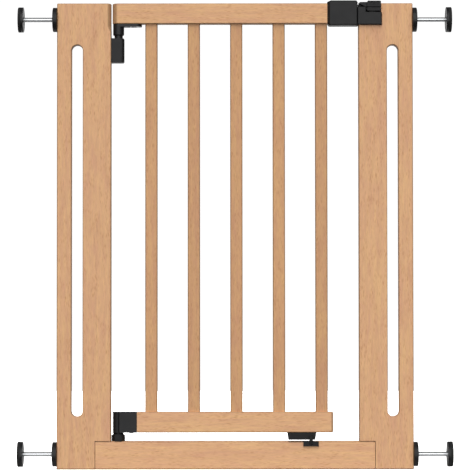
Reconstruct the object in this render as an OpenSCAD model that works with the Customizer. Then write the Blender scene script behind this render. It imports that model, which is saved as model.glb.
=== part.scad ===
// Wooden safety gate, held between two walls by four threaded spindles.
// The leaf lifts off its lower hinge pin and swings to the back.
// X runs across the doorway, Y through the boards with the front at -Y, Z up.
// The origin lies on the floor, midway between the walls and at mid thickness.

/* [Frame boards] */
// Height of the two side posts
post_h = 815; // [760:5:900]
// Width of each side post
post_w = 95; // [88:1:120]
// Thickness of the posts and of all four rails
board_t = 21; // [20:0.5:26]
// Width of the frame across the outer edges of both posts
frame_w = 623; // [600:1:680]
// Radius on the edges of the boards
edge_r = 2; // [0.5:0.25:3]

/* [Post slots] */
// Width of the long slot in each post
slot_w = 20.4; // [14:0.2:26]
// Wood left between a post's outer edge and its slot
slot_edge = 24.7; // [18:0.1:32]
// Height of the slot's lower end above the floor
slot_foot = 92; // [70:1:200]
// Wood left between the slot's upper end and the top of the post
slot_head = 73; // [60:1:200]

/* [Hinge side relief] */
// Radius that rounds the hinge post's inner edge beside the top rail
relief_r = 6.5; // [3:0.5:9]
// Length of that rounding, measured down from the top of the post
relief_l = 44; // [38:1:56]

/* [Threshold rail] */
// Height of the threshold rail
sill_h = 49; // [44:1:60]
// Length of the half lap over the foot of each post
lap_l = 28; // [20:1:34]
// Distance between the two screws of one lap joint
lap_screw_gap = 21; // [16:1:24]

/* [Leaf rails] */
// Height of the leaf's top and bottom rails
rail_h = 36; // [34:1:42]
// Gap between the hinge post and the round end of the top rail
hinge_gap = 2; // [1:0.25:3]
// Gap between the free end of the bottom rail and the latch post
bottom_rail_inset = 45.3; // [30:0.5:50]
// Radius on the free end of the bottom rail, seen from above
rail_end_r = 4.5; // [2:0.5:6]

/* [Slats] */
// Width of each slat
slat_w = 21.5; // [16:0.5:26]
// Thickness of each slat
slat_t = 12; // [9:0.5:14]
// Distance from the hinge axis to the middle of the first slat
first_slat_in = 57.7; // [54:0.1:64]
// Gap between the last slat and the lock case above it
last_slat_gap = 0.05; // [0.05:0.05:3]
// Radius on the slats' long edges
slat_r = 1.75; // [0.5:0.25:3]
// Depth of the mortises that hold the slats' ends
tenon_l = 10; // [6:0.5:16]

/* [Lock case on the leaf] */
// Length of the lock case along the top rail
lock_l = 52.2; // [48:0.2:60]
// Thickness of the lock case and of the keeper, front to back
lock_t = 30; // [29:0.5:34]
// Height of the lock case above the top of the leaf
lock_rise = 4.5; // [4:0.25:7]
// Depth of the lock case below the top rail
lock_drop = 2.8; // [2.2:0.2:6]
// Gap between the front half of the lock case and the latch post
lock_gap = 2.3; // [1.5:0.1:4]
// Gap between the rear half of the lock case and the keeper
rebate_gap = 0.4; // [0.3:0.05:1]
// Length of the rail end inside the lock case
lock_seat = 28.6; // [24:0.2:31]
// Bevel on the hinge end of the lock case
lock_bevel = 4.5; // [2:0.5:6]
// Length of the slope at the hinge end of the lock case's top
lock_slope_l = 6.5; // [2:0.5:9]
// Height of that slope
lock_slope_h = 2.7; // [1.5:0.1:4]
// Bevel under the hinge end of the lock case
lock_foot_bevel = 3.6; // [1.5:0.1:5]
// Bevel on the other edges of the lock case and keeper
case_bevel = 1.6; // [0.5:0.1:2]
// Bevel on the edges that face the gap between the lock case and the keeper
gap_bevel = 0.9; // [0.3:0.1:1.4]

/* [Keeper on the latch post] */
// Length of the keeper along the latch post
keeper_l = 41.1; // [40:0.2:46]
// Depth of the keeper's cheeks below the top of the post
keeper_drop = 38.4; // [37:0.2:46]
// Depth of the notch in the post that takes the keeper's core
notch_drop = 29.5; // [28.5:0.25:30]
// Length of the keeper's core at the bottom of that notch
core_l = 35.5; // [34:0.25:37]
// Depth of the slide's track below the top of the post
track_drop = 16; // [15.5:0.25:17]
// Width of the pillar at the leaf end of the keeper
pillar_w = 12.5; // [11.5:0.25:14]
// Depth of the pillar's top below the top of the post
pillar_drop = 7; // [6.5:0.25:8]
// Gap between the keeper's front lip and the front half of the lock case
lip_gap = 0.8; // [0.6:0.05:1.2]

/* [Lock slide] */
// Travel of the slide from open to locked
slide_travel = 10; // [7:0.5:10]
// Length of the ribbed thumb block
thumb_l = 23.8; // [18:0.2:24]
// Height of the thumb block's top above the post
thumb_rise = 4.5; // [3:0.25:7]
// Gap under the thumb block
thumb_gap = 3; // [1:0.25:4]
// Length of the bolt in front of the thumb block
bolt_l = 14.5; // [12:0.25:14.75]
// Width of the bolt, front to back
bolt_w = 14; // [8:0.5:16]
// Height of the bolt
bolt_h = 8; // [5:0.25:8.25]
// Width of the slide's foot inside the keeper
foot_w = 14; // [10:0.5:16]
// Length of the slide's foot
foot_l = 12; // [9:0.5:12.5]
// Height of the slide's foot
foot_h = 4.5; // [3:0.25:5]
// Width of the stem between the foot and the thumb block
stem_w = 8; // [5:0.5:9]
// Thickness of the bowed spring strip under the foot
strip_t = 0.6; // [0.4:0.1:1]
// Width of the bowed spring strip
strip_w = 8; // [5:0.5:9.5]

/* [Upper hinge] */
// Diameter of the upper hinge pin
upper_pin_d = 14.5; // [9:0.5:15]
// Length of the upper pin inside the socket on the post
upper_pin_seat = 27; // [22:1:28]
// Length of the upper pin inside the bracket on the rail
upper_pin_hold = 15; // [10:0.5:16]
// Diameter of the hinge barrels
barrel_d = 19.3; // [18.5:0.1:21]
// Height of the upper bracket's barrel below its plate
upper_barrel_h = 15.4; // [10:0.2:18]
// Length of the upper bracket's plate, from the hinge axis
upper_plate_l = 41; // [34:0.5:45]
// Thickness of the upper bracket's plate
upper_plate_t = 4.7; // [4:0.1:6]
// Bare length of the pin between the barrel and the socket
neck_h = 5.2; // [4:0.2:9]
// Height of the socket on the hinge post
socket_h = 42.5; // [40:0.5:50]
// Depth of the socket from the post towards the leaf
socket_l = 22.6; // [21:0.1:24]
// Radius on the socket's free corners
socket_r = 6; // [3:0.5:8]

/* [Lower hinge] */
// Travel of the leaf when it is lifted
lift_travel = 12; // [8:1:14]
// Width across the corners of the six-sided foot cup
foot_cup_d = 23.6; // [22:0.2:24]
// Height of the six-sided foot cup
foot_cup_h = 10.8; // [9:0.1:16]
// Height of the cone on top of the foot cup
foot_cone_h = 1.7; // [1:0.1:3]
// Diameter of the peg that holds the foot cup in the threshold
foot_peg_d = 10; // [8:0.5:12]
// Length of that peg
foot_peg_l = 20; // [12:1:26]
// Diameter of the lower pin where it turns in the foot cup
lower_pin_d = 8; // [6:0.5:10]
// Diameter of the collar on the lower pin
collar_d = 18; // [15:0.5:18.5]
// Thickness of the collar on the lower pin
collar_t = 1.6; // [1:0.1:3]
// Width of the square shank that carries the leaf
shank_w = 9; // [7:0.5:10]
// Length of the square shank
shank_l = 28; // [24:1:31]
// Length of the lower bracket's box, from the hinge axis
box_l = 32.6; // [26:0.2:34]
// Wall of the lower bracket's box
box_wall = 2.8; // [2:0.1:4]
// Wall between the square shank and the end of the rail in the box
web_t = 5; // [3:0.25:7]
// Thickness of the flange on top of the lower barrel
flange_t = 2; // [1:0.25:3]
// How far that flange stands out
flange_out = 0.6; // [0.2:0.1:0.8]
// Diameter of the screw head under the lower bracket
pan_head_d = 8.5; // [7:0.25:10]
// Height of that screw head
pan_head_h = 1.2; // [0.8:0.1:2]

/* [Bottom stop] */
// Length of the stop block under the leaf
stop_l = 50.5; // [40:0.5:60]
// Gap between the stop block's end and the free end of the bottom rail
stop_inset = 29.7; // [20:0.5:40]
// Gap between the stop block and the threshold
stop_gap = 2.5; // [1.5:0.25:4]
// Taper of each end of the stop block
stop_taper = 2; // [0.5:0.25:4]
// How far the stop block stands in front of the rail
stop_out = 3.2; // [2.5:0.1:5]
// Width of the upright stop tab
tab_w = 6; // [4:0.5:9]
// Height of the stop tab above the threshold
tab_h = 9.5; // [7:0.25:10]
// Thickness of the stop tab and its plate
tab_t = 2.8; // [2:0.1:4]
// Length of the stop tab's plate
tab_plate_l = 27; // [22:0.5:34]
// Height of the stop tab's plate
tab_plate_h = 8.6; // [8.2:0.1:14]
// Distance from the free end of the stop block to the middle of the tab
tab_inset = 9.2; // [8:0.2:14]

/* [Wall spindles] */
// Diameter of the threaded rods
rod_d = 8; // [6:1:10]
// Height of the lower rods above the floor
low_rod_z = 26; // [24:1:34]
// Depth of the upper rods below the top of the posts
top_rod_drop = 28; // [26:1:30]
// Reach of a wall pad from the post's outer edge when wound right out
pad_reach = 68.5; // [62:0.5:75]
// How far each pad winds in
spindle_travel = 40; // [20:1:40]
// Length of rod left in the post when the pad is wound right out
rod_seat = 16.5; // [12:0.5:16.5]
// Diameter of the hand wheels
wheel_d = 41.4; // [38:0.2:46]
// Thickness of the hand wheels
wheel_t = 8; // [7:0.25:12]
// Width across the corners of the nut in each hand wheel
nut_d = 15; // [14:0.25:17]
// Thickness of that nut
nut_t = 5; // [4:0.25:6]
// Diameter of the wall pads
pad_d = 44; // [38:0.5:46]
// Thickness of a wall pad's plastic plate
plate_t = 4.6; // [4:0.1:7]
// Thickness of a wall pad's rubber face
rubber_t = 4.8; // [4:0.1:7]
// Diameter of the boss that joins the plate to the rubber
boss_d = 16; // [14:0.5:22]
// Length of that boss
boss_l = 3.4; // [2:0.1:3.6]
// Radius on the rims of the wheels and pads
rim_r = 1.8; // [1:0.1:1.9]

/* [Screws] */
// Shank diameter of the wood screws
screw_d = 4; // [3:0.25:4.5]
// Head diameter of the wood screws
head_d = 7.6; // [6.5:0.1:8]
// Length of the screws through the lock case and keeper
case_screw_l = 26; // [24:0.5:27]
// Length of the screws in the lap joints
lap_screw_l = 17; // [14:0.5:18]
// Length of the screws that hold brackets and stops
short_screw_l = 16; // [12:0.5:20]
// Length of the screw that holds the hinge socket
long_screw_l = 40; // [32:1:44]

/* [Fits] */
// Radial clearance round screws, pins and tenons
fit = 0.05; // [0.02:0.01:0.1]
// Gap between pieces that move past each other
run_gap = 0.3; // [0.2:0.05:0.4]

/* [Hidden] */
$fn = 64;
// How far a cut runs past the face that it opens
over = 1;
WOOD = [0.83, 0.66, 0.50];
BLACK = [0.16, 0.16, 0.17];
RUBBER = [0.10, 0.10, 0.10];
STEEL = [0.72, 0.73, 0.74];
DARK_STEEL = [0.20, 0.20, 0.21];

// Frame boards
half_t = board_t / 2;
outer_x = frame_w / 2;
inner_x = outer_x - post_w;
slot_x = outer_x - slot_edge - slot_w / 2;
slot_low = slot_foot + slot_w / 2;
slot_high = post_h - slot_head - slot_w / 2;

// Lower hinge, stacked up from the threshold
pin_seat_t = 2;
foot_cone_top = sill_h + foot_cup_h + foot_cone_h;
collar_z = foot_cone_top + run_gap;
shank_z = collar_z + collar_t;
lower_barrel_z = shank_z + run_gap;

// Leaf, resting on the lower hinge and flush with the top of the posts
slat_count = 5;
axis_x = -inner_x + hinge_gap + half_t;
top_rail_z = post_h - rail_h;
bottom_rail_z = lower_barrel_z + run_gap;
bottom_rail_top = bottom_rail_z + rail_h;
bottom_rail_end = inner_x - bottom_rail_inset;

// Lower bracket and the rail tenon inside its box
box_end = axis_x + box_l;
tenon_start = axis_x + shank_w / 2 + web_t;
lower_screw_x = (tenon_start + box_end) / 2 + 1.5;

// Lock case, and the row of slats spread evenly up to it
lock_end = inner_x - lock_gap;
lock_rear_end = inner_x - rebate_gap;
lock_start = lock_end - lock_l;
rail_end = lock_start + lock_seat;
lock_foot_z = top_rail_z - lock_drop;
lock_top_z = post_h + lock_rise;
first_slat_x = axis_x + first_slat_in;
last_slat_x = lock_start - last_slat_gap - slat_w / 2;
slat_pitch = (last_slat_x - first_slat_x) / (slat_count - 1);

// Keeper
keeper_lap = 1;
keeper_end = inner_x + keeper_l;
lip_x = lock_end + lip_gap;
keeper_foot_z = post_h - keeper_drop;
notch_z = post_h - notch_drop;
notch_end = keeper_end - keeper_lap;
track_z = post_h - track_drop;
pillar_z = post_h - pillar_drop;
core_end = inner_x + core_l;
keeper_screw_inset = 8;
keeper_screw_z = (keeper_foot_z + notch_z) / 2;
keeper_screw_xs = [inner_x + keeper_screw_inset, keeper_end - keeper_screw_inset];

// Lock slide, wound back against the end of its notch
slide_end_gap = 2 * run_gap;
cap_gap = 5 * run_gap;
cap_inset = 0.5;
thumb_end = notch_end - slide_end_gap;
thumb_start = thumb_end - thumb_l;
thumb_foot_z = track_z + thumb_gap;
thumb_top_z = post_h + thumb_rise;
cap_z = pillar_z + cap_gap;
bolt_tip = thumb_start - bolt_l;
nose_l = 2;
nose_back = 3;

// Chamber in the keeper for the slide's foot and its spring strip
lid_t = 3.7;
core_wall = 4.5;
guide_l = 4.5;
stem_inset = 1.5;
strip_rise = 2.9;
foot_end = core_end - core_wall;
foot_start = foot_end - foot_l;
foot_top_z = track_z - lid_t - run_gap;
foot_foot_z = foot_top_z - foot_h;
chamber_z = foot_foot_z - run_gap - strip_rise;

// Upper hinge
plate_z = top_rail_z - upper_plate_t;
upper_barrel_z = plate_z - upper_barrel_h;
socket_top_z = upper_barrel_z - neck_h;
socket_z = socket_top_z - socket_h;
upper_pin_z = socket_top_z - upper_pin_seat;
upper_pin_top = upper_barrel_z + upper_pin_hold;
hinge_bevel = 1.5;
socket_screw_z = socket_z + 6.5;
socket_peg_d = 8;
socket_peg_l = 8;
socket_peg_z = socket_top_z - upper_pin_seat / 2;
upper_screw_xs = [axis_x + barrel_d, axis_x + upper_plate_l - head_d];

// Bottom stop
stop_end = bottom_rail_end - stop_inset;
stop_start = stop_end - stop_l;
stop_z = sill_h + stop_gap;
tab_x = stop_end - tab_inset;
tab_top_z = sill_h + tab_h;
stop_front = -half_t - stop_out;
stop_screw_inset = 10;
stop_screw_gap = 18;
first_stop_screw_x = stop_start + stop_screw_inset;
stop_screw_xs = [first_stop_screw_x, first_stop_screw_x + stop_screw_gap];

// Wall spindles, wound right out
top_rod_z = post_h - top_rod_drop;
pad_face_x = outer_x + pad_reach;
rubber_x = pad_face_x - rubber_t;
plate_x = rubber_x - plate_t;
wheel_x = outer_x + run_gap;
boss_cap = 1.2;
rod_start = outer_x - rod_seat;
rod_end = rubber_x + boss_l - boss_cap;
bore_end = rod_start - spindle_travel - over;

// ---- Helpers -----------------------------------------------------------

// Flat rectangle from one corner to the other, with round corners
module round_rect(x0, y0, x1, y1, r) {
    translate([x0 + r, y0])
        square([x1 - x0 - 2 * r, y1 - y0]);
    translate([x0, y0 + r])
        square([x1 - x0, y1 - y0 - 2 * r]);
    for (x = [x0 + r, x1 - r], y = [y0 + r, y1 - r])
        translate([x, y])
            circle(r);
}

// Flat rectangle from one corner to the other, with bevelled corners
module bevel_rect(x0, y0, x1, y1, b) {
    polygon([
        [x0 + b, y0], [x1 - b, y0], [x1, y0 + b], [x1, y1 - b],
        [x1 - b, y1], [x0 + b, y1], [x0, y1 - b], [x0, y0 + b],
    ]);
}

// Block from one corner to the other
module block(x0, y0, z0, x1, y1, z1) {
    translate([x0, y0, z0])
        cube([x1 - x0, y1 - y0, z1 - z0]);
}

// Stands a flat XZ drawing up between two depths
module stand(y0, y1) {
    translate([0, y1, 0])
        rotate([90, 0, 0])
            linear_extrude(y1 - y0)
                children();
}

// Runs a flat YZ drawing along X
module run_along(x0, x1) {
    translate([x0, 0, 0])
        rotate([90, 0, 90])
            linear_extrude(x1 - x0)
                children();
}

// Countersunk screw, its head flush at the origin and its shank along -Z
module screw(l, grow = 0) {
    cone_h = (head_d - screw_d) / 2;
    translate([0, 0, -l - grow])
        cylinder(h = l + grow, d = screw_d + 2 * grow);
    translate([0, 0, -cone_h])
        cylinder(h = cone_h, d1 = screw_d + 2 * grow, d2 = head_d + 2 * grow);
}

// Hole for such a screw, open above its head
module screw_hole(l) {
    screw(l, fit);
    cylinder(h = over, d = head_d + 2 * fit);
}

module facing_back(x, z, y = half_t) {
    translate([x, y, z])
        rotate([-90, 0, 0])
            children();
}

module facing_front(x, z, y) {
    translate([x, y, z])
        rotate([90, 0, 0])
            children();
}

module facing_down(x, z) {
    translate([x, 0, z])
        rotate([180, 0, 0])
            children();
}

// ---- Frame -------------------------------------------------------------

module lap_screw_places() {
    for (side = [-1, 1], up = [-1, 1])
        facing_back(side * (inner_x + lap_l / 2), sill_h / 2 + up * lap_screw_gap / 2)
            children();
}

// Board with every edge rounded, from one XZ corner to the other
module eased_board(x0, z0, x1, z1) {
    intersection() {
        stand(-half_t, half_t)
            round_rect(x0, z0, x1, z1, edge_r);
        run_along(x0, x1)
            round_rect(-half_t, z0, half_t, z1, edge_r);
        translate([0, 0, z0])
            linear_extrude(z1 - z0)
                round_rect(x0, -half_t, x1, half_t, edge_r);
    }
}

// One side post with its slot, its lap and the bores for two rods
module post(side) {
    x0 = side > 0 ? inner_x : -outer_x;
    difference() {
        eased_board(x0, 0, x0 + post_w, post_h);
        for (z = [slot_low, slot_high])
            facing_front(side * slot_x, z, half_t + over)
                cylinder(h = board_t + 2 * over, d = slot_w);
        block(side * slot_x - slot_w / 2, -half_t - over, slot_low,
              side * slot_x + slot_w / 2, half_t + over, slot_high);
        scale_side(side)
            block(inner_x - over, -half_t - over, -over, inner_x + lap_l, 0, sill_h);
        for (z = [low_rod_z, top_rod_z])
            scale_side(side)
                translate([bore_end, 0, z])
                    rotate([0, 90, 0])
                        cylinder(h = outer_x - bore_end + over, d = rod_d + 4 * fit);
        lap_screw_places()
            screw_hole(lap_screw_l);
    }
}

// Turns a right-hand drawing into its left-hand mirror image
module scale_side(side) {
    if (side < 0)
        mirror([1, 0, 0])
            children();
    else
        children();
}

// Rounds the inner edges of the hinge post beside the top rail
module relief_cut() {
    for (face = [-1, 1])
        translate([0, 0, post_h - relief_l])
            linear_extrude(relief_l + over)
                difference() {
                    translate([-inner_x - relief_r, face > 0 ? half_t - relief_r : -half_t - over])
                        square([relief_r + over, relief_r + over]);
                    translate([-inner_x - relief_r, face * (half_t - relief_r)])
                        circle(relief_r);
                }
}

module left_post() {
    color(WOOD)
        difference() {
            post(-1);
            relief_cut();
            socket_peg(fit);
            socket_screw_place()
                screw_hole(long_screw_l);
        }
}

module right_post() {
    color(WOOD)
        difference() {
            post(1);
            block(inner_x - over, -half_t - over, notch_z, core_end, half_t + over, track_z + over);
            block(inner_x - over, -half_t - over, track_z, notch_end, half_t + over, post_h + over);
            keeper_screw_places()
                screw_hole(case_screw_l);
        }
}

module threshold_rail() {
    color(WOOD)
        difference() {
            intersection() {
                run_along(-inner_x - lap_l, inner_x + lap_l)
                    round_rect(-half_t, 0, half_t, sill_h, edge_r);
                union() {
                    block(-inner_x, -half_t, 0, inner_x, half_t, sill_h);
                    block(-inner_x - lap_l, -half_t, 0, inner_x + lap_l, 0, sill_h);
                }
            }
            lap_screw_places()
                screw_hole(lap_screw_l);
            foot_peg(fit);
            stop_tab_screw_place()
                screw_hole(short_screw_l);
        }
}

module lap_screws() {
    color(STEEL)
        lap_screw_places()
            screw(lap_screw_l);
}

// ---- Upper hinge -------------------------------------------------------

module socket_peg(grow = 0) {
    translate([-inner_x - socket_peg_l - grow, 0, socket_peg_z])
        rotate([0, 90, 0])
            cylinder(h = socket_peg_l + grow + 0.01, d = socket_peg_d + 2 * grow);
}

module socket_screw_place() {
    translate([-inner_x + socket_l, 0, socket_screw_z])
        rotate([0, 90, 0])
            children();
}

module hinge_socket() {
    color(BLACK) {
        difference() {
            intersection() {
                translate([0, 0, socket_z])
                    linear_extrude(socket_h)
                        difference() {
                            round_rect(-inner_x - socket_r, -half_t, -inner_x + socket_l, half_t, socket_r);
                            translate([-inner_x - 2 * socket_r, -half_t - over])
                                square([2 * socket_r, board_t + 2 * over]);
                        }
                stand(-half_t, half_t)
                    bevel_rect(-inner_x - board_t, socket_z, -inner_x + socket_l, socket_top_z, hinge_bevel);
            }
            translate([axis_x, 0, upper_pin_z - 2])
                cylinder(h = socket_h, d = upper_pin_d + 2 * fit);
            socket_screw_place()
                screw_hole(long_screw_l);
        }
        socket_peg();
    }
}

module socket_screw() {
    color(DARK_STEEL)
        socket_screw_place()
            screw(long_screw_l);
}

module upper_screw_places() {
    for (x = upper_screw_xs)
        facing_down(x, plate_z)
            children();
}

module upper_hinge_bracket() {
    color(BLACK)
        difference() {
            union() {
                translate([0, 0, plate_z])
                    linear_extrude(upper_plate_t) {
                        translate([axis_x, -barrel_d / 2])
                            square([upper_plate_l - barrel_d / 2, barrel_d]);
                        translate([axis_x, 0])
                            circle(d = barrel_d);
                        translate([axis_x + upper_plate_l - barrel_d / 2, 0])
                            circle(d = barrel_d);
                    }
                translate([axis_x, 0, upper_barrel_z + hinge_bevel])
                    cylinder(h = upper_barrel_h - hinge_bevel, d = barrel_d);
                translate([axis_x, 0, upper_barrel_z])
                    cylinder(h = hinge_bevel, d1 = barrel_d - 2 * hinge_bevel, d2 = barrel_d);
            }
            translate([axis_x, 0, upper_barrel_z - over])
                cylinder(h = upper_pin_hold + over + fit, d = upper_pin_d + 2 * fit);
            upper_screw_places()
                screw_hole(short_screw_l);
        }
}

module upper_hinge_pin() {
    color(BLACK)
        translate([axis_x, 0, upper_pin_z])
            cylinder(h = upper_pin_top - upper_pin_z, d = upper_pin_d);
}

module upper_bracket_screws() {
    color(STEEL)
        upper_screw_places()
            screw(short_screw_l);
}

// ---- Lower hinge -------------------------------------------------------

module foot_peg(grow = 0) {
    translate([axis_x, 0, sill_h - foot_peg_l - grow])
        cylinder(h = foot_peg_l + grow + 0.01, d = foot_peg_d + 2 * grow);
}

module hinge_foot() {
    color(BLACK)
        difference() {
            union() {
                foot_peg();
                translate([axis_x, 0, sill_h])
                    cylinder(h = foot_cup_h, d = foot_cup_d, $fn = 6);
                translate([axis_x, 0, sill_h + foot_cup_h])
                    cylinder(h = foot_cone_h, d1 = barrel_d + 1, d2 = barrel_d - 1);
            }
            translate([axis_x, 0, sill_h + pin_seat_t])
                cylinder(h = foot_cup_h + foot_cone_h, d = lower_pin_d + 2 * fit);
        }
}

module lower_hinge_pin() {
    pin_foot_z = sill_h + pin_seat_t + run_gap;
    color(DARK_STEEL) {
        translate([axis_x, 0, pin_foot_z])
            cylinder(h = collar_z - pin_foot_z, d = lower_pin_d);
        translate([axis_x, 0, collar_z])
            cylinder(h = collar_t, d = collar_d);
        translate([axis_x - shank_w / 2, -shank_w / 2, shank_z])
            cube([shank_w, shank_w, shank_l]);
    }
}

// The rail end that the lower bracket's box takes
module rail_tenon(grow = 0) {
    block(tenon_start - grow, -half_t + box_wall - grow, bottom_rail_z + box_wall - grow,
          box_end + over, half_t - box_wall + grow, bottom_rail_top - box_wall + grow);
}

// Pan-headed screw under the lower bracket, its seat at the origin
module pan_screw(grow = 0) {
    translate([0, 0, -short_screw_l - grow])
        cylinder(h = short_screw_l + 0.01 + grow, d = screw_d + 2 * grow);
    cylinder(h = pan_head_h, d = pan_head_d + 2 * grow);
}

module lower_screw_place() {
    facing_down(lower_screw_x, bottom_rail_z)
        children();
}

module lower_hinge_bracket() {
    color(BLACK)
        difference() {
            union() {
                block(axis_x, -half_t, bottom_rail_z, box_end, half_t, bottom_rail_top);
                translate([axis_x, 0, lower_barrel_z])
                    cylinder(h = bottom_rail_top - lower_barrel_z, d = barrel_d);
                translate([axis_x, 0, bottom_rail_top - flange_t])
                    cylinder(h = flange_t, d = barrel_d + 2 * flange_out);
            }
            rail_tenon(fit);
            translate([axis_x - shank_w / 2 - fit, -shank_w / 2 - fit, lower_barrel_z - over])
                cube([shank_w + 2 * fit, shank_w + 2 * fit, shank_l + over + run_gap]);
            lower_screw_place()
                pan_screw(fit);
        }
}

module lower_bracket_screw() {
    color(DARK_STEEL)
        lower_screw_place()
            pan_screw();
}

// ---- Leaf --------------------------------------------------------------

slat_xs = [for (i = [0 : slat_count - 1]) first_slat_x + i * slat_pitch];

// One slat's outline run between two heights
module slat_bar(x, z0, z1, grow = 0) {
    translate([0, 0, z0])
        linear_extrude(z1 - z0)
            round_rect(x - slat_w / 2 - grow, -slat_t / 2 - grow,
                       x + slat_w / 2 + grow, slat_t / 2 + grow, slat_r);
}

module slat(number) {
    color(WOOD)
        slat_bar(slat_xs[number - 1], bottom_rail_top - tenon_l, top_rail_z + tenon_l);
}

module slat_mortises() {
    for (x = slat_xs) {
        slat_bar(x, bottom_rail_top - tenon_l - fit, bottom_rail_top + over, fit);
        slat_bar(x, top_rail_z - over, top_rail_z + tenon_l + fit, fit);
    }
}

module top_rail() {
    color(WOOD)
        difference() {
            intersection() {
                translate([0, 0, top_rail_z])
                    linear_extrude(rail_h) {
                        translate([axis_x, 0])
                            circle(d = board_t);
                        translate([axis_x, -half_t])
                            square([rail_end - axis_x, board_t]);
                    }
                run_along(axis_x - board_t, rail_end)
                    round_rect(-half_t, top_rail_z, half_t, post_h, edge_r);
            }
            slat_mortises();
            upper_screw_places()
                screw_hole(short_screw_l);
            lock_screw_places()
                screw_hole(case_screw_l);
        }
}

module bottom_rail() {
    color(WOOD)
        difference() {
            intersection() {
                translate([0, 0, bottom_rail_z])
                    linear_extrude(rail_h)
                        round_rect(tenon_start - 3 * rail_end_r, -half_t,
                                   bottom_rail_end, half_t, rail_end_r);
                run_along(tenon_start, bottom_rail_end)
                    round_rect(-half_t, bottom_rail_z, half_t, bottom_rail_top, edge_r);
                union() {
                    block(box_end, -half_t, bottom_rail_z, bottom_rail_end, half_t, bottom_rail_top);
                    rail_tenon();
                }
            }
            slat_mortises();
            lower_screw_place()
                pan_screw(fit);
            stop_screw_places()
                screw_hole(short_screw_l);
        }
}

// ---- Lock case on the leaf ---------------------------------------------

module lock_screw_places() {
    middle_z = (lock_foot_z + lock_top_z) / 2;
    for (spot = [[lock_start + lock_seat / 2, middle_z], [(rail_end + lock_end) / 2, middle_z - head_d]])
        facing_back(spot[0], spot[1], lock_t / 2)
            children();
}

// Lock case, run to the given free end
module lock_case(end) {
    half = lock_t / 2;
    difference() {
        intersection() {
            stand(-half, half)
                polygon([
                    [lock_start + lock_foot_bevel, lock_foot_z], [end - gap_bevel, lock_foot_z],
                    [end, lock_foot_z + gap_bevel], [end, lock_top_z - case_bevel],
                    [end - case_bevel, lock_top_z], [lock_start + lock_slope_l, lock_top_z],
                    [lock_start, lock_top_z - lock_slope_h], [lock_start, lock_foot_z + lock_foot_bevel],
                ]);
            run_along(lock_start, end)
                bevel_rect(-half, lock_foot_z, half, lock_top_z, case_bevel);
            translate([0, 0, lock_foot_z])
                linear_extrude(lock_top_z - lock_foot_z)
                    polygon([
                        [lock_start, half - lock_bevel], [lock_start + lock_bevel, half],
                        [end - gap_bevel, half], [end, half - gap_bevel],
                        [end, gap_bevel - half], [end - gap_bevel, -half],
                        [lock_start + lock_bevel, -half], [lock_start, lock_bevel - half],
                    ]);
        }
        block(lock_start - over, -half_t - fit, top_rail_z - fit,
              rail_end + fit, half_t + fit, post_h + fit);
        block(bolt_tip - slide_travel - over, -bolt_w / 2 - run_gap, cap_z - run_gap,
              end + over, bolt_w / 2 + run_gap, cap_z + bolt_h + run_gap);
        lock_screw_places()
            screw_hole(case_screw_l);
    }
}

// Keeps the half of a case in front of the split (-1) or behind it (1)
module half_of(side) {
    intersection() {
        children();
        block(-frame_w, side < 0 ? -frame_w : 0, 0, frame_w, side < 0 ? 0 : frame_w, 2 * post_h);
    }
}

module lock_case_half(side) {
    color(BLACK)
        half_of(side)
            lock_case(side < 0 ? lock_end : lock_rear_end);
}

module lock_case_screws() {
    color(STEEL)
        lock_screw_places()
            screw(case_screw_l);
}

// ---- Keeper on the latch post ------------------------------------------

module keeper_screw_places() {
    for (x = keeper_screw_xs)
        facing_back(x, keeper_screw_z, lock_t / 2)
            children();
}

// The two outlines of the keeper: its lip meets the lock case in front, and
// behind, a wall hides the slide and an ear stands beside the bolt
module keeper_front_outline() {
    polygon([
        [lip_x, keeper_foot_z], [keeper_end, keeper_foot_z], [keeper_end, track_z],
        [inner_x + pillar_w, track_z], [inner_x + pillar_w, pillar_z], [lip_x, pillar_z],
    ]);
}

module keeper_rear_outline() {
    wall_top = cap_z - run_gap;
    ear_end = thumb_start - slide_travel - run_gap;
    polygon([
        [inner_x, keeper_foot_z], [keeper_end, keeper_foot_z], [keeper_end, wall_top],
        [ear_end, wall_top], [ear_end, post_h], [inner_x, post_h],
    ]);
}

module keeper(side) {
    half = lock_t / 2;
    start = side < 0 ? lip_x : inner_x;
    difference() {
        intersection() {
            stand(side < 0 ? -half : 0, side < 0 ? 0 : half)
                if (side < 0)
                    keeper_front_outline();
                else
                    keeper_rear_outline();
            run_along(start, keeper_end)
                bevel_rect(-half, keeper_foot_z, half, post_h, case_bevel);
            translate([0, 0, keeper_foot_z])
                linear_extrude(keeper_drop)
                    polygon([
                        [start, gap_bevel - half], [start + gap_bevel, -half],
                        [keeper_end - case_bevel, -half], [keeper_end, case_bevel - half],
                        [keeper_end, half - case_bevel], [keeper_end - case_bevel, half],
                        [start + gap_bevel, half], [start, half - gap_bevel],
                    ]);
        }
        // Room for the lock case's rear half behind the lip
        block(lip_x - over, -run_gap, keeper_foot_z - over, inner_x, half, post_h);
        // Room for the bolt over the pillar
        block(inner_x - over, -half_t - fit, pillar_z, keeper_end + over, half_t + fit, post_h + over);
        // Room for the post below and beside the notch
        block(inner_x - over, -half_t - fit, keeper_foot_z - over, keeper_end + over, half_t + fit, notch_z);
        block(core_end, -half_t - fit, keeper_foot_z, keeper_end + over, half_t + fit, post_h);
        // Track of the slide's skirt, its stem and its foot
        block(inner_x + guide_l, -half_t - fit, track_z, keeper_end, half_t + fit, post_h);
        block(foot_start + stem_inset - slide_travel - run_gap, -stem_w / 2 - run_gap,
              track_z - lid_t - over,
              foot_end - stem_inset + run_gap, stem_w / 2 + run_gap, track_z + over);
        block(foot_start - slide_travel - run_gap, -foot_w / 2 - run_gap, chamber_z,
              foot_end + run_gap, foot_w / 2 + run_gap, track_z - lid_t);
        keeper_screw_places()
            screw_hole(case_screw_l);
    }
}

module keeper_half(side) {
    color(BLACK)
        keeper(side);
}

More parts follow.
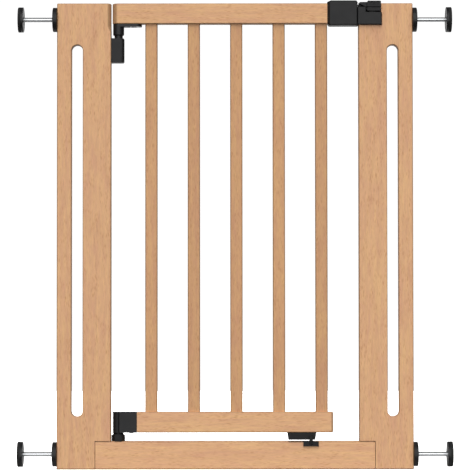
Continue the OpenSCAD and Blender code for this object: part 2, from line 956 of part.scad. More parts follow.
module keeper_screws() {
    color(STEEL)
        keeper_screw_places()
            screw(case_screw_l);
}

// Bowed strip that presses the slide's foot up against its lid
module slide_spring() {
    half_l = (foot_l + slide_travel) / 2 - 1;
    radius = (half_l * half_l + strip_rise * strip_rise) / (2 * strip_rise);
    middle = (foot_start - slide_travel + foot_end) / 2;
    color(STEEL)
        intersection() {
            translate([middle, strip_w / 2, chamber_z + strip_rise - radius])
                rotate([90, 0, 0])
                    difference() {
                        cylinder(h = strip_w, r = radius, $fn = 128);
                        translate([0, 0, -over])
                            cylinder(h = strip_w + 2 * over, r = radius - strip_t, $fn = 128);
                    }
            block(middle - half_l, -strip_w, chamber_z,
                  middle + half_l, strip_w, chamber_z + strip_rise + over);
        }
}

module lock_slide() {
    half = lock_t / 2 - cap_inset;
    skirt = half_t - run_gap;
    color(BLACK) {
        // Thumb block with bevelled top edges, and its narrower skirt
        intersection() {
            stand(-half, half)
                bevel_rect(thumb_start, thumb_foot_z, thumb_end, thumb_top_z, case_bevel);
            run_along(thumb_start, thumb_end)
                bevel_rect(-half, thumb_foot_z, half, thumb_top_z, case_bevel);
            block(thumb_start, -half, cap_z, thumb_end, half, thumb_top_z);
        }
        block(thumb_start, -skirt, thumb_foot_z, thumb_end, skirt, cap_z);
        // Stem and foot inside the keeper
        block(foot_start + stem_inset, -stem_w / 2, foot_foot_z, foot_end - stem_inset, stem_w / 2, cap_z);
        block(foot_start, -foot_w / 2, foot_foot_z, foot_end, foot_w / 2, foot_top_z);
        // Bolt with a sloping nose
        stand(-bolt_w / 2, bolt_w / 2)
            polygon([
                [thumb_start + over, cap_z], [thumb_start - nose_back, cap_z],
                [bolt_tip, cap_z + bolt_h - nose_l], [bolt_tip + nose_l, cap_z + bolt_h],
                [thumb_start + over, cap_z + bolt_h],
            ]);
    }
}

// ---- Bottom stop -------------------------------------------------------

module stop_screw_places() {
    for (x = stop_screw_xs)
        facing_down(x, stop_z)
            children();
}

module stop_block() {
    color(BLACK)
        difference() {
            stand(stop_front, half_t)
                polygon([
                    [stop_start, bottom_rail_z], [stop_start + stop_taper, stop_z],
                    [stop_end - stop_taper, stop_z], [stop_end, bottom_rail_z],
                ]);
            block(tab_x - tab_w / 2 - 2 * run_gap, stop_front - over, stop_z - over,
                  tab_x + tab_w / 2 + 2 * run_gap, -half_t + run_gap, tab_top_z + run_gap);
            stop_screw_places()
                screw_hole(short_screw_l);
        }
}

module stop_block_screws() {
    color(STEEL)
        stop_screw_places()
            screw(short_screw_l);
}

module stop_tab_screw_place() {
    facing_front(tab_x, sill_h - tab_plate_h / 2, -half_t - tab_t)
        children();
}

module stop_tab() {
    color(BLACK)
        difference() {
            union() {
                block(tab_x - tab_plate_l / 2, -half_t - tab_t, sill_h - tab_plate_h,
                      tab_x + tab_plate_l / 2, -half_t, sill_h);
                block(tab_x - tab_w / 2, -half_t - tab_t, sill_h - over,
                      tab_x + tab_w / 2, -half_t, tab_top_z);
            }
            stop_tab_screw_place()
                screw_hole(short_screw_l);
        }
}

module stop_tab_screw() {
    color(DARK_STEEL)
        stop_tab_screw_place()
            screw(short_screw_l);
}

// ---- Wall spindles -----------------------------------------------------

// Lays a drawing made along +Z from the middle of the gate out to one side
module spindle(side, z) {
    translate([0, 0, z])
        rotate([0, side * 90, 0])
            children();
}

// Disc with round rims, from one distance to another
module round_disc(d, x0, x1, r) {
    rotate_extrude()
        difference() {
            translate([0, x0])
                square([d / 2, x1 - x0]);
            for (end = [0, 1])
                translate([d / 2 - r, end > 0 ? x1 - r : x0 + r])
                    difference() {
                        translate([0, end > 0 ? 0 : -r - over])
                            square([r + over, r + over]);
                        circle(r);
                    }
        }
}

module nut_shape(grow = 0) {
    translate([0, 0, wheel_x + wheel_t - nut_t - grow])
        cylinder(h = nut_t + grow, d = nut_d + 2 * grow, $fn = 6);
}

module hand_wheel(side, z) {
    color(BLACK)
        spindle(side, z)
            difference() {
                round_disc(wheel_d, wheel_x, wheel_x + wheel_t, rim_r);
                translate([0, 0, wheel_x - over])
                    cylinder(h = wheel_t + 2 * over, d = rod_d + 4 * fit);
                nut_shape(fit);
                translate([0, 0, wheel_x + wheel_t - 0.01])
                    cylinder(h = over, d = nut_d, $fn = 6);
            }
}

module wheel_nut(side, z) {
    color(STEEL)
        spindle(side, z)
            difference() {
                nut_shape();
                translate([0, 0, wheel_x])
                    cylinder(h = wheel_t + over, d = rod_d + 2 * fit);
            }
}

module threaded_rod(side, z) {
    color(STEEL)
        spindle(side, z)
            translate([0, 0, rod_start])
                cylinder(h = rod_end - rod_start, d = rod_d);
}

module pad_plate(side, z) {
    color(BLACK)
        spindle(side, z)
            difference() {
                union() {
                    round_disc(pad_d, plate_x, rubber_x, rim_r);
                    translate([0, 0, rubber_x - over])
                        cylinder(h = boss_l + over, d = boss_d);
                }
                translate([0, 0, plate_x - over])
                    cylinder(h = rod_end - plate_x + over + fit, d = rod_d + 2 * fit);
            }
}

module pad_rubber(side, z) {
    color(RUBBER)
        spindle(side, z)
            difference() {
                round_disc(pad_d, rubber_x, pad_face_x, rim_r);
                translate([0, 0, rubber_x - over])
                    cylinder(h = boss_l + over + fit, d = boss_d + 2 * fit);
            }
}

// ---- Nodes -------------------------------------------------------------

left_post();
right_post();
threshold_rail();
lap_screws();
hinge_socket();
socket_screw();
hinge_foot();
keeper_half(-1);  // keeper_front
keeper_half(1);  // keeper_rear
keeper_screws();
slide_spring();
stop_tab();
stop_tab_screw();
lower_hinge_pin();
top_rail();
bottom_rail();
slat(1);  // slat_1
slat(2);  // slat_2
slat(3);  // slat_3
slat(4);  // slat_4
slat(5);  // slat_5
lock_case_half(-1);  // lock_case_front
lock_case_half(1);  // lock_case_rear
lock_case_screws();
upper_hinge_bracket();
upper_hinge_pin();
upper_bracket_screws();
lower_hinge_bracket();
lower_bracket_screw();
stop_block();
stop_block_screws();
lock_slide();
hand_wheel(-1, top_rod_z);  // wheel_left_top
wheel_nut(-1, top_rod_z);  // nut_left_top
threaded_rod(-1, top_rod_z);  // rod_left_top
pad_plate(-1, top_rod_z);  // pad_left_top
pad_rubber(-1, top_rod_z);  // rubber_left_top
hand_wheel(-1, low_rod_z);  // wheel_left_low
wheel_nut(-1, low_rod_z);  // nut_left_low
threaded_rod(-1, low_rod_z);  // rod_left_low
pad_plate(-1, low_rod_z);  // pad_left_low
pad_rubber(-1, low_rod_z);  // rubber_left_low
hand_wheel(1, top_rod_z);  // wheel_right_top
wheel_nut(1, top_rod_z);  // nut_right_top
threaded_rod(1, top_rod_z);  // rod_right_top
pad_plate(1, top_rod_z);  // pad_right_top
pad_rubber(1, top_rod_z);  // rubber_right_top
hand_wheel(1, low_rod_z);  // wheel_right_low
wheel_nut(1, low_rod_z);  // nut_right_low
threaded_rod(1, low_rod_z);  // rod_right_low
pad_plate(1, low_rod_z);  // pad_right_low
pad_rubber(1, low_rod_z);  // rubber_right_low
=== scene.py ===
"""Looks for a beech safety gate that is held between two walls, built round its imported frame.

X runs across the doorway, Y to the back and Z up, in metres.  Every piece keeps its place in
its own mesh, so that it can ride on the body that carries it.
"""
import math
import bmesh
import bpy
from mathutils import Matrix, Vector


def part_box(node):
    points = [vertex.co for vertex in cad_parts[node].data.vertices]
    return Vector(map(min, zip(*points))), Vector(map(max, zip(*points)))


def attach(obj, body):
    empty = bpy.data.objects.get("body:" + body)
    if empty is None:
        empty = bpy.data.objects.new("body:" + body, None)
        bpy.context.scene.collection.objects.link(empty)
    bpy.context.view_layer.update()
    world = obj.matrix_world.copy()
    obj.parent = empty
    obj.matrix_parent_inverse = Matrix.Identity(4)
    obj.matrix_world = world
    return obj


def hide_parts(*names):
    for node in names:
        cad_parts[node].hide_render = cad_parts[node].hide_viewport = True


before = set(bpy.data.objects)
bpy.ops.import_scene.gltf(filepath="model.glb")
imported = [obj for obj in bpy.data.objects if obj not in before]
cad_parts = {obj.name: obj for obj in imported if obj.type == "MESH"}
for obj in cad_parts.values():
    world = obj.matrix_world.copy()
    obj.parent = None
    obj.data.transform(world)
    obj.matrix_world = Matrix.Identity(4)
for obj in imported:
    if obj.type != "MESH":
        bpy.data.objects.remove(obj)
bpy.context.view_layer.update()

scene = bpy.context.scene
MM = 0.001
HAIR = 0.00001            # too small to see; it keeps a face from having no size
SIDES = {"left": -1, "right": 1}
LEVELS = ("top", "low")
SPINDLES = [(f"{name}_{level}", side) for name, side in SIDES.items() for level in LEVELS]
SLATS = [f"slat_{number}" for number in range(1, 6)]

# Woodwork.
SLOT_WIDTH = 19.6 * MM    # the long slot through a post
SLOT_EDGE = 25.6 * MM     # wood between the slot and the post's outer side
SLOT_FOOT = 92 * MM       # from the floor up to the slot
SLOT_HEAD = 73 * MM       # from the post's top down to the slot
SLOT_EASE = 1.5 * MM      # the router's rounding of the slot's rims
EDGE = 2 * MM             # rounding of a board's long edges
EASE_STEPS = 4            # facets round an eased end
RELIEF_LENGTH = 44 * MM   # how far down the hinge post is rounded further
RELIEF_RADIUS = 8.5 * MM
RUN_OUT = 12 * MM         # the length in which that rounding fades
SHADOW_GAP = 0.4 * MM     # open joint round each lap
BORE_START = 254 * MM     # inner end of the rods' bores, from the middle of the gate
ROD_BORE = 4.1 * MM       # radius of a bore for an M8 rod
NOTCH_DEPTH = 29.5 * MM   # seat of the keeper in the latch post
NOTCH_LENGTH = 35.5 * MM
TRACK_DEPTH = 16 * MM     # channel of the slide above that seat
MORTISE_GAP = 0.05 * MM
CROSS_CUT = 0.3 * MM      # rounding of an end that was only sawn
TENON_WALL = 2.8 * MM     # plastic round the bottom rail's tenon
SLAT_RADIUS = 2.4 * MM

# Fittings.
SCREW_HEAD = 7.6 * MM
THUMB_LENGTH = 23.8 * MM  # the thumb block, from the lock's outer end inwards
THUMB_FACE = -14.5 * MM   # its front
RIB = 0.7 * MM            # thickness of a grip rib on it
WEB_FRONT = 4.4 * MM      # the webs under the bolt lie between these two depths
WEB_BACK = 6.3 * MM
PITCH = 1.25 * MM         # of an M8 thread
THREAD_DEPTH = 0.05 * MM  # drawn, of a real 0.8 mm: faint rings leave the rod's glint unbroken
WHEEL_SWELL = 0.6 * MM    # how far a hand wheel's rim stands out from its solid
FLUTES = 36               # round a hand wheel
FLUTE_DEPTH = 0.18 * MM
PAD_FACETS = 96           # round a pad

# Scales of the patterns, which count marks to the metre: 1000 over a width in millimetres.
BANDS = 85.0              # 12 mm: soft bands of colour in the beech
STREAKS = 270.0           # 4 mm: its heartwood streaks
ARCHES = 17.0             # 60 mm: the sweep of its growth rings
FLECKS = 560.0            # 1.8 mm: ray flecks, three times the real 0.5 mm, so that they show
FLECK_PATCHES = 190.0     # 5 mm: where flecks crowd
FIBRES = 900.0            # 1 mm: bundles of fibre
MOULD_GRAIN = 1700.0      # 0.6 mm: spark-eroded grain, three times the real 0.2 mm
MELT_FLOW = 65.0          # 15 mm: flow of the melt in the nylon
BLOOM = 180.0             # 6 mm: dusty bloom on the rubber
DRAWING_MARKS = 320.0     # 3 mm: uneven finish of the steel
CLOUDS = 3.0              # 330 mm: uneven light in the floor


# ---- Nodes and objects ----

def fill(tree, node, links):
    """Sets a node's inputs, by name or number, to a value, a socket or a node's first output.

    A Map Range turns the range from 1 to 2 into the range from 3 to 4, which are 0 to 1 unless
    they are given.  A colour Mix runs from colour 6 to colour 7.
    """
    for key, value in links.items():
        if isinstance(value, bpy.types.Node):
            value = next(output for output in value.outputs if output.enabled)
        if isinstance(value, bpy.types.NodeSocket):
            tree.links.new(value, node.inputs[key])
        else:
            node.inputs[key].default_value = value


def add(tree, kind, links=None, **settings):
    """Adds one node, with its settings and with what goes into it."""
    node = tree.nodes.new(kind)
    for key, value in settings.items():
        setattr(node, key, value)
    fill(tree, node, links or {})
    return node


def new_object(name, data):
    """An object that stands in the scene."""
    thing = bpy.data.objects.new(name, data)
    scene.collection.objects.link(thing)
    return thing


# ---- Camera, light and floor ----

def set_up_camera():
    """Looks square at the front of the gate from four metres, tilted up a little."""
    distance = 4.2
    field = 0.8212
    tilt = math.radians(1.76)
    roll = math.radians(0.05)
    aim = Vector((-0.0001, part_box("left_post")[0].y, 0.4086))
    data = bpy.data.cameras.new("camera")
    data.lens = data.sensor_width * distance / field
    camera = new_object("camera", data)
    camera.location = aim - distance * Vector((0.0, math.cos(tilt), math.sin(tilt)))
    camera.rotation_euler = (math.radians(90) + tilt, roll, 0.0)
    scene.camera = camera


def add_lamp(name, kind, power, turn, place=(0.0, 0.0, 0.0), **settings):
    """A lamp that lights the gate and leaves no glint on it."""
    data = bpy.data.lights.new(name, kind)
    data.energy = power
    for key, value in settings.items():
        setattr(data, key, value)
    lamp = new_object(name, data)
    lamp.visible_glossy = False
    lamp.location = place
    lamp.rotation_euler = turn


def hang_lamps():
    """A wide white ceiling over the camera, and square softboxes beside and behind the gate."""
    height, spread = math.radians(64), math.radians(44)
    add_lamp("skylight", "SUN", 2.45, (math.radians(90) - height, 0.0, 0.0), angle=spread)
    middle = Vector((0.0, 0.0, 0.4))
    for name, place, size, power in [("left_softbox", (-3.6, 0.6, 1.4), 1.6, 14),
                                     ("right_softbox", (3.6, 0.6, 1.4), 1.6, 14),
                                     ("back_softbox", (0.0, 3.6, 2.6), 2.6, 120)]:
        turn = (middle - Vector(place)).to_track_quat("-Z", "Y").to_euler()
        add_lamp(name, "AREA", power, turn, place, size=size)


def raise_tent():
    """A dim tent with a bright wall round the camera and a pale backdrop behind the gate."""
    world = bpy.data.worlds.new("studio")
    scene.world = world
    world.use_nodes = True
    tree = world.node_tree
    tree.nodes.clear()
    # The camera sees plain white, and all else sees the tent.
    seen = add(tree, "ShaderNodeBackground", {"Color": (1, 1, 1, 1), "Strength": 1.05})
    # Each panel fills a cone of directions: its middle, the cosines where it starts and where
    # it is full, and its strength.
    panels = [((0.0, -0.948, 0.317), 0.72, 0.87, 1.50), ((0.0, 0.998, 0.05), 0.950, 0.975, 1.0)]
    way = add(tree, "ShaderNodeTexCoord").outputs["Generated"]
    tent = 0.10
    for middle, start, full, strength in panels:
        near = add(tree, "ShaderNodeVectorMath", {0: way, 1: middle}, operation="DOT_PRODUCT")
        panel = add(tree, "ShaderNodeMapRange", {"Value": near, 1: start, 2: full, 4: strength},
                    interpolation_type="SMOOTHSTEP")
        tent = add(tree, "ShaderNodeMath", {0: tent, 1: panel})
    glow = add(tree, "ShaderNodeBackground", {"Color": (1, 1, 1, 1), "Strength": tent})
    path = add(tree, "ShaderNodeLightPath").outputs
    both = add(tree, "ShaderNodeMixShader", {0: path["Is Camera Ray"], 1: glow, 2: seen})
    add(tree, "ShaderNodeOutputWorld", {"Surface": both})


def lay_floor():
    """The floor that the gate stands on."""
    mesh = bpy.data.meshes.new("floor")
    corners = [(-3, -0.03, 0), (3, -0.03, 0), (3, 4, 0), (-3, 4, 0)]
    mesh.from_pydata(corners, [], [(0, 1, 2, 3)])
    mesh.materials.append(light_table())
    new_object("floor", mesh)


# ---- Materials ----

def colour(text):
    """An sRGB hex colour as linear red, green, blue and alpha."""
    parts = [int(text[i:i + 2], 16) / 255 for i in (1, 3, 5)]
    linear = [c / 12.92 if c <= 0.04045 else ((c + 0.055) / 1.055) ** 2.4 for c in parts]
    return (*linear, 1.0)


def new_material(name):
    """An empty material, with its node tree and its shader."""
    material = bpy.data.materials.new(name)
    material.use_nodes = True
    tree = material.node_tree
    tree.nodes.clear()
    shader = add(tree, "ShaderNodeBsdfPrincipled")
    add(tree, "ShaderNodeOutputMaterial", {"Surface": shader})
    return material, tree, shader


def light_table():
    """Opal acrylic, lit a little from below: a pale, even floor with faint soft shadows."""
    material, tree, shader = new_material("opal_light_table")
    # It throws little light on the gate, as a floor does that lies far from the lamps, and
    # glossy fittings mirror it only faintly.
    path = add(tree, "ShaderNodeLightPath").outputs
    seen = add(tree, "ShaderNodeMath", {0: path["Is Glossy Ray"], 1: 0.15,
                                        2: path["Is Camera Ray"]}, operation="MULTIPLY_ADD")
    place = add(tree, "ShaderNodeTexCoord").outputs["Object"]
    cloud = add(tree, "ShaderNodeTexNoise", {"Vector": place, "Scale": CLOUDS, "Detail": 2.0})
    tone = add(tree, "ShaderNodeMix", {0: cloud, 6: colour("#F0F0F0"), 7: colour("#F6F6F6")},
               data_type="RGBA")
    dimmed = add(tree, "ShaderNodeMix", {0: seen, 6: colour("#7A7A7A"), 7: tone},
                 data_type="RGBA")
    light = add(tree, "ShaderNodeMath", {0: seen, 1: 0.8}, operation="MULTIPLY")
    fill(tree, shader, {"Base Color": dimmed, "Roughness": 0.8, "Specular IOR Level": 0.1,
                        "Emission Color": colour("#FFFFFF"), "Emission Strength": light})
    return material


def lacquered_beech(name, stretch, ochre, pink, face_tone):
    """Planed beech under satin lacquer: warm ochre and pink with short reddish flecks.

    Stretch says how slowly each axis runs in the grain, so the smallest lies along the board.
    """
    material, tree, shader = new_material(name)
    place = add(tree, "ShaderNodeTexCoord").outputs["Object"]
    # Each board starts at its own place in the log.
    board = add(tree, "ShaderNodeAttribute", attribute_name="board").outputs["Fac"]
    shift = add(tree, "ShaderNodeVectorMath", {0: (0.37, 0.53, 0.71), "Scale": board},
                operation="SCALE")
    moved = add(tree, "ShaderNodeVectorMath", {0: place, 1: shift}, operation="ADD")
    grain = add(tree, "ShaderNodeVectorMath", {0: moved, 1: stretch}, operation="MULTIPLY")
    short = tuple(max(way, 0.17) for way in stretch)
    dashes = add(tree, "ShaderNodeVectorMath", {0: moved, 1: short}, operation="MULTIPLY")

    # Long soft bands and short streaks, where ochre and pink heartwood run into each other.
    bands = add(tree, "ShaderNodeTexNoise", {"Vector": grain, "Scale": BANDS, "Detail": 2.0,
                                             "Roughness": 0.55, "Distortion": 0.6})
    streaks = add(tree, "ShaderNodeTexNoise", {"Vector": dashes, "Scale": STREAKS, "Detail": 3.0,
                                               "Roughness": 0.7})
    both = add(tree, "ShaderNodeMath", {0: bands, 1: streaks})
    spread = add(tree, "ShaderNodeMapRange", {"Value": both, 1: 0.74, 2: 1.26})
    base = add(tree, "ShaderNodeMix", {0: spread, 6: colour(ochre), 7: colour(pink)},
               data_type="RGBA")

    # Growth rings cut lengthwise: fine arches, 4 to 6 mm apart, slightly darker than the rest.
    field = add(tree, "ShaderNodeTexNoise", {"Vector": grain, "Scale": ARCHES, "Detail": 1.0,
                                             "Roughness": 0.4, "Distortion": 0.3})
    rings = add(tree, "ShaderNodeMath", {0: field, 1: 58.0}, operation="MULTIPLY")
    wave = add(tree, "ShaderNodeMath", {0: rings}, operation="SINE")
    late = add(tree, "ShaderNodeMapRange", {"Value": wave, 1: 0.35, 4: 0.13},
               interpolation_type="SMOOTHSTEP")
    ringed = add(tree, "ShaderNodeMix", {0: late, 6: base, 7: colour("#BC8B63")},
                 data_type="RGBA")

    # Ray flecks: short reddish dashes all over quarter-sawn faces, crowded in patches.
    near = add(tree, "ShaderNodeTexVoronoi", {"Vector": dashes, "Scale": FLECKS})
    dash = add(tree, "ShaderNodeMapRange", {"Value": near, 1: 0.48, 2: 0.12},
               interpolation_type="SMOOTHSTEP")
    patch = add(tree, "ShaderNodeTexNoise", {"Vector": dashes, "Scale": FLECK_PATCHES,
                                             "Detail": 1.0})
    where = add(tree, "ShaderNodeMapRange", {"Value": patch, 1: 0.36, 2: 0.64})
    fleck = add(tree, "ShaderNodeMath", {0: dash, 1: where}, operation="MULTIPLY")
    depth = add(tree, "ShaderNodeMath", {0: fleck, 1: 0.70}, operation="MULTIPLY")
    flecked = add(tree, "ShaderNodeMix", {0: depth, 6: ringed, 7: colour("#B77F52")},
                  data_type="RGBA")

    # Fine fibre keeps the face from looking printed.
    fibre = add(tree, "ShaderNodeTexNoise", {"Vector": grain, "Scale": FIBRES, "Detail": 3.0,
                                             "Roughness": 0.6})
    shade = add(tree, "ShaderNodeMapRange", {"Value": fibre, 1: 0.25, 2: 0.75, 3: 0.91, 4: 1.09})
    tinted = add(tree, "ShaderNodeVectorMath", {0: flecked, "Scale": shade}, operation="SCALE")
    # Boards from different parts of the log differ a little in tone.
    own = add(tree, "ShaderNodeMath", {0: board, 1: 7.31}, operation="MULTIPLY")
    turn = add(tree, "ShaderNodeMath", {0: own}, operation="FRACT")
    tone = add(tree, "ShaderNodeMapRange", {"Value": turn, 3: 0.965, 4: 1.02})
    toned = add(tree, "ShaderNodeVectorMath", {0: tinted, "Scale": tone}, operation="SCALE")

    # Painted shade: eased edges are painted darker where the face turns away from all three
    # directions of the board, and the narrow sides, which face neither front nor back, are painted
    # darker than the wide faces.  face_tone sets how bright each copy's wide faces are drawn.
    facing = add(tree, "ShaderNodeTexCoord").outputs["Normal"]
    bare = add(tree, "ShaderNodeVectorMath", {0: facing}, operation="ABSOLUTE")
    ways = add(tree, "ShaderNodeSeparateXYZ", {0: bare}).outputs
    more = add(tree, "ShaderNodeMath", {0: ways["X"], 1: ways["Y"]}, operation="MAXIMUM")
    most = add(tree, "ShaderNodeMath", {0: more, 1: ways["Z"]}, operation="MAXIMUM")
    edge_shade = add(tree, "ShaderNodeMapRange", {"Value": most, 1: 0.93, 2: 0.995, 3: 0.62,
                                             4: face_tone})
    side = add(tree, "ShaderNodeMapRange", {"Value": ways["Y"], 1: 0.1, 2: 0.5, 3: 0.80})
    painted_shade = add(tree, "ShaderNodeMath", {0: edge_shade, 1: side}, operation="MULTIPLY")
    shaded_beech = add(tree, "ShaderNodeVectorMath", {0: toned, "Scale": painted_shade}, operation="SCALE")

    # Satin lacquer over the pores: a soft gloss that the flecks break up.
    gloss = add(tree, "ShaderNodeMapRange", {"Value": fleck, 3: 0.46, 4: 0.62})
    relief = add(tree, "ShaderNodeMath", {0: fibre, 1: fleck}, operation="SUBTRACT")
    bump = add(tree, "ShaderNodeBump", {"Height": relief, "Strength": 0.25,
                                        "Distance": 0.1 * MM})
    fill(tree, shader, {"Base Color": shaded_beech, "Roughness": gloss, "Normal": bump,
                        "Specular IOR Level": 0.35})
    return material


def moulded_nylon(name, text, rough, relief):
    """Injection-moulded, glass-filled nylon: near-black, with a soft sheen over a fine grain."""
    material, tree, shader = new_material(name)
    place = add(tree, "ShaderNodeTexCoord").outputs["Object"]
    grit = add(tree, "ShaderNodeTexNoise", {"Vector": place, "Scale": MOULD_GRAIN,
                                            "Detail": 2.0, "Roughness": 0.6})
    # Where the melt flowed there are patches that are a shade lighter and duller.
    flow = add(tree, "ShaderNodeTexNoise", {"Vector": place, "Scale": MELT_FLOW, "Detail": 2.0})
    tone = add(tree, "ShaderNodeMapRange", {"Value": flow, 1: 0.3, 2: 0.7, 3: 0.93, 4: 1.07})
    tint = add(tree, "ShaderNodeVectorMath", {0: colour(text)[:3], "Scale": tone},
               operation="SCALE")
    dull = add(tree, "ShaderNodeMath", {0: grit, 1: flow}, operation="MULTIPLY")
    gloss = add(tree, "ShaderNodeMapRange", {"Value": dull, 1: 0.1, 2: 0.4, 3: rough - 0.06,
                                             4: rough + 0.06})
    bump = add(tree, "ShaderNodeBump", {"Height": grit, "Strength": 0.3, "Distance": relief})
    fill(tree, shader, {"Base Color": tint, "Roughness": gloss, "Normal": bump, "IOR": 1.53,
                        "Specular IOR Level": 0.35})
    return material


def pressed_rubber():
    """Soft rubber, pressed in a mould: matt black, dusty with bloom."""
    material, tree, shader = new_material("pressed_rubber")
    place = add(tree, "ShaderNodeTexCoord").outputs["Object"]
    bloom = add(tree, "ShaderNodeTexNoise", {"Vector": place, "Scale": BLOOM, "Detail": 4.0})
    tone = add(tree, "ShaderNodeMix", {0: bloom, 6: colour("#1A1A1A"), 7: colour("#2A2A2A")},
               data_type="RGBA")
    rough = add(tree, "ShaderNodeMapRange", {"Value": bloom, 3: 0.70, 4: 0.90})
    bump = add(tree, "ShaderNodeBump", {"Height": bloom, "Strength": 0.2, "Distance": 0.1 * MM})
    fill(tree, shader, {"Base Color": tone, "Roughness": rough, "Normal": bump, "IOR": 1.52,
                        "Specular IOR Level": 0.3})
    return material


def steel(name, dark, light, dull):
    """Rolled steel with a thin finish: clear highlights over faint drawing marks."""
    material, tree, shader = new_material(name)
    place = add(tree, "ShaderNodeTexCoord").outputs["Object"]
    cloud = add(tree, "ShaderNodeTexNoise", {"Vector": place, "Scale": DRAWING_MARKS,
                                             "Detail": 3.0})
    tone = add(tree, "ShaderNodeMix", {0: cloud, 6: colour(dark), 7: colour(light)},
               data_type="RGBA")
    rough = add(tree, "ShaderNodeMapRange", {"Value": cloud, 3: dull - 0.07, 4: dull + 0.07})
    fill(tree, shader, {"Base Color": tone, "Roughness": rough, "Metallic": 1.0})
    return material


# ---- Shapes ----

def rounded(u0, v0, u1, v1, radii, inset=0.0, steps=6):
    """Rectangle with a radius at each corner, anticlockwise from its low corner."""
    points = []
    corners = [(u0, v0, 1, 1, 180), (u1, v0, -1, 1, 270), (u1, v1, -1, -1, 0), (u0, v1, 1, -1, 90)]
    for (u, v, right, up, start), radius in zip(corners, radii):
        r = max(radius - inset, 2 * HAIR)
        centre_u = u + right * (inset + r)
        centre_v = v + up * (inset + r)
        for k in range(steps + 1):
            angle = math.radians(start + 90 * k / steps)
            points.append((centre_u + r * math.cos(angle), centre_v + r * math.sin(angle)))
    return points


def eased(low, high, ease):
    """Stations along a bar whose two ends are eased, each with its inset."""
    turns = [math.radians(90 * k / EASE_STEPS) for k in range(EASE_STEPS + 1)]
    rising = [(low + ease * (1 - math.cos(t)), ease * (1 - math.sin(t))) for t in turns]
    return rising + [(low + high - w, inset) for w, inset in reversed(rising)]


def set_in(axis, u, v, w):
    """A point of a flat outline, placed at w along an axis."""
    return {"X": (w, u, v), "Y": (u, w, v), "Z": (u, v, w)}[axis]


def as_mesh(shell):
    """Turns a bmesh into a mesh and frees it."""
    mesh = bpy.data.meshes.new("shape")
    shell.to_mesh(mesh)
    shell.free()
    return mesh


def skin(shell, rows):
    """Faces between neighbouring rings of equally many vertices."""
    count = len(rows[0])
    for low, high in zip(rows, rows[1:]):
        for i in range(count):
            j = (i + 1) % count
            shell.faces.new((low[i], low[j], high[j], high[i]))


def loft(rings):
    """Closed shell through rings of equally many points."""
    shell = bmesh.new()
    rows = [[shell.verts.new(point) for point in ring] for ring in rings]
    skin(shell, rows)
    shell.faces.new(rows[0][::-1])
    shell.faces.new(rows[-1])
    bmesh.ops.recalc_face_normals(shell, faces=shell.faces)
    return as_mesh(shell)


def turned_ring(profile, side, height, steps):
    """Closed ring with a bore, turned from a half section that ends where it starts."""
    shell = bmesh.new()
    turns = [2 * math.pi * k / steps for k in range(steps)]
    rows = [[shell.verts.new((side * x, r * math.cos(t), height + r * math.sin(t)))
             for t in turns] for x, r in profile[:-1]]
    skin(shell, rows + rows[:1])
    bmesh.ops.recalc_face_normals(shell, faces=shell.faces)
    return as_mesh(shell)


def bar(axis, corners, radii, low, high, ease, steps=6):
    """Bar with rounded long edges and eased ends, run along an axis."""
    return loft([[set_in(axis, u, v, w) for u, v in rounded(*corners, radii, inset, steps)]
                 for w, inset in eased(low, high, ease)])


def block(low, high):
    """Sharp block for cutting."""
    return bar("Z", (*low[:2], *high[:2]), [2 * HAIR] * 4, low[2], high[2], HAIR, 1)


def drill(axis, u, v, radius, low, high):
    """Round bar for cutting."""
    corners = (u - radius, v - radius, u + radius, v + radius)
    return bar(axis, corners, [radius] * 4, low, high, HAIR, 12)


def joined(meshes):
    """All meshes as one."""
    shell = bmesh.new()
    for mesh in meshes:
        shell.from_mesh(mesh)
        bpy.data.meshes.remove(mesh)
    return as_mesh(shell)


def plain_copy(mesh, change):
    """The mesh after a change that modifiers make to it."""
    worker = new_object("worker", mesh)
    change(worker)
    graph = bpy.context.evaluated_depsgraph_get()
    result = bpy.data.meshes.new_from_object(worker.evaluated_get(graph), depsgraph=graph)
    bpy.data.objects.remove(worker)
    return result


def combine(mesh, tool_mesh, operation="DIFFERENCE"):
    """Cuts a mesh with another, or joins the two."""
    tool = new_object("tool", tool_mesh)

    def change(worker):
        modifier = worker.modifiers.new("combine", "BOOLEAN")
        modifier.operation = operation
        modifier.solver = "EXACT"
        modifier.object = tool
    result = plain_copy(mesh, change)
    bpy.data.objects.remove(tool)
    return result


def clean_copy(node):
    """A part's own shape as one clean mesh of flat faces."""
    shell = bmesh.new()
    shell.from_mesh(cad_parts[node].data)
    bmesh.ops.remove_doubles(shell, verts=shell.verts, dist=0.002 * MM)
    bmesh.ops.dissolve_limit(shell, angle_limit=math.radians(0.5), verts=shell.verts,
                             edges=shell.edges)
    return as_mesh(shell)


def weigh_edges(mesh, soften):
    """Says how far each edge is rounded: all the way, or a fifth where two halves meet."""
    shell = bmesh.new()
    shell.from_mesh(mesh)
    weights = shell.edges.layers.float.new("bevel_weight_edge")
    for edge in shell.edges:
        if edge.calc_face_angle(0.0) > math.radians(soften):
            parting = all(abs(vert.co.y) < 0.4 * MM for vert in edge.verts)
            edge[weights] = 0.2 if parting else 1.0
    shell.to_mesh(mesh)
    shell.free()


def stand_piece(name, mesh, material, body, stands_for=(), soften=35, bevel=0.0):
    """Makes a piece of the gate from a mesh and lets it ride on its body."""
    mesh.materials.clear()
    mesh.materials.append(material)
    mesh.polygons.foreach_set("use_smooth", [True] * len(mesh.polygons))
    mesh.set_sharp_from_angle(angle=math.radians(soften))
    piece = new_object(name, mesh)
    if bevel:
        weigh_edges(mesh, soften)
        edges = piece.modifiers.new("edges", "BEVEL")
        edges.width = bevel
        edges.segments = 3
        edges.limit_method = "WEIGHT"
        edges.use_clamp_overlap = True
    flat = piece.modifiers.new("flat_faces", "WEIGHTED_NORMAL")
    flat.keep_sharp = True
    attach(piece, body)
    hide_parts(*stands_for)


def mark_boards(mesh, numbers):
    """Gives each point the number of its board, by which the wood finds its place in the log."""
    mesh.attributes.new("board", "FLOAT", "POINT").data.foreach_set("value", numbers)


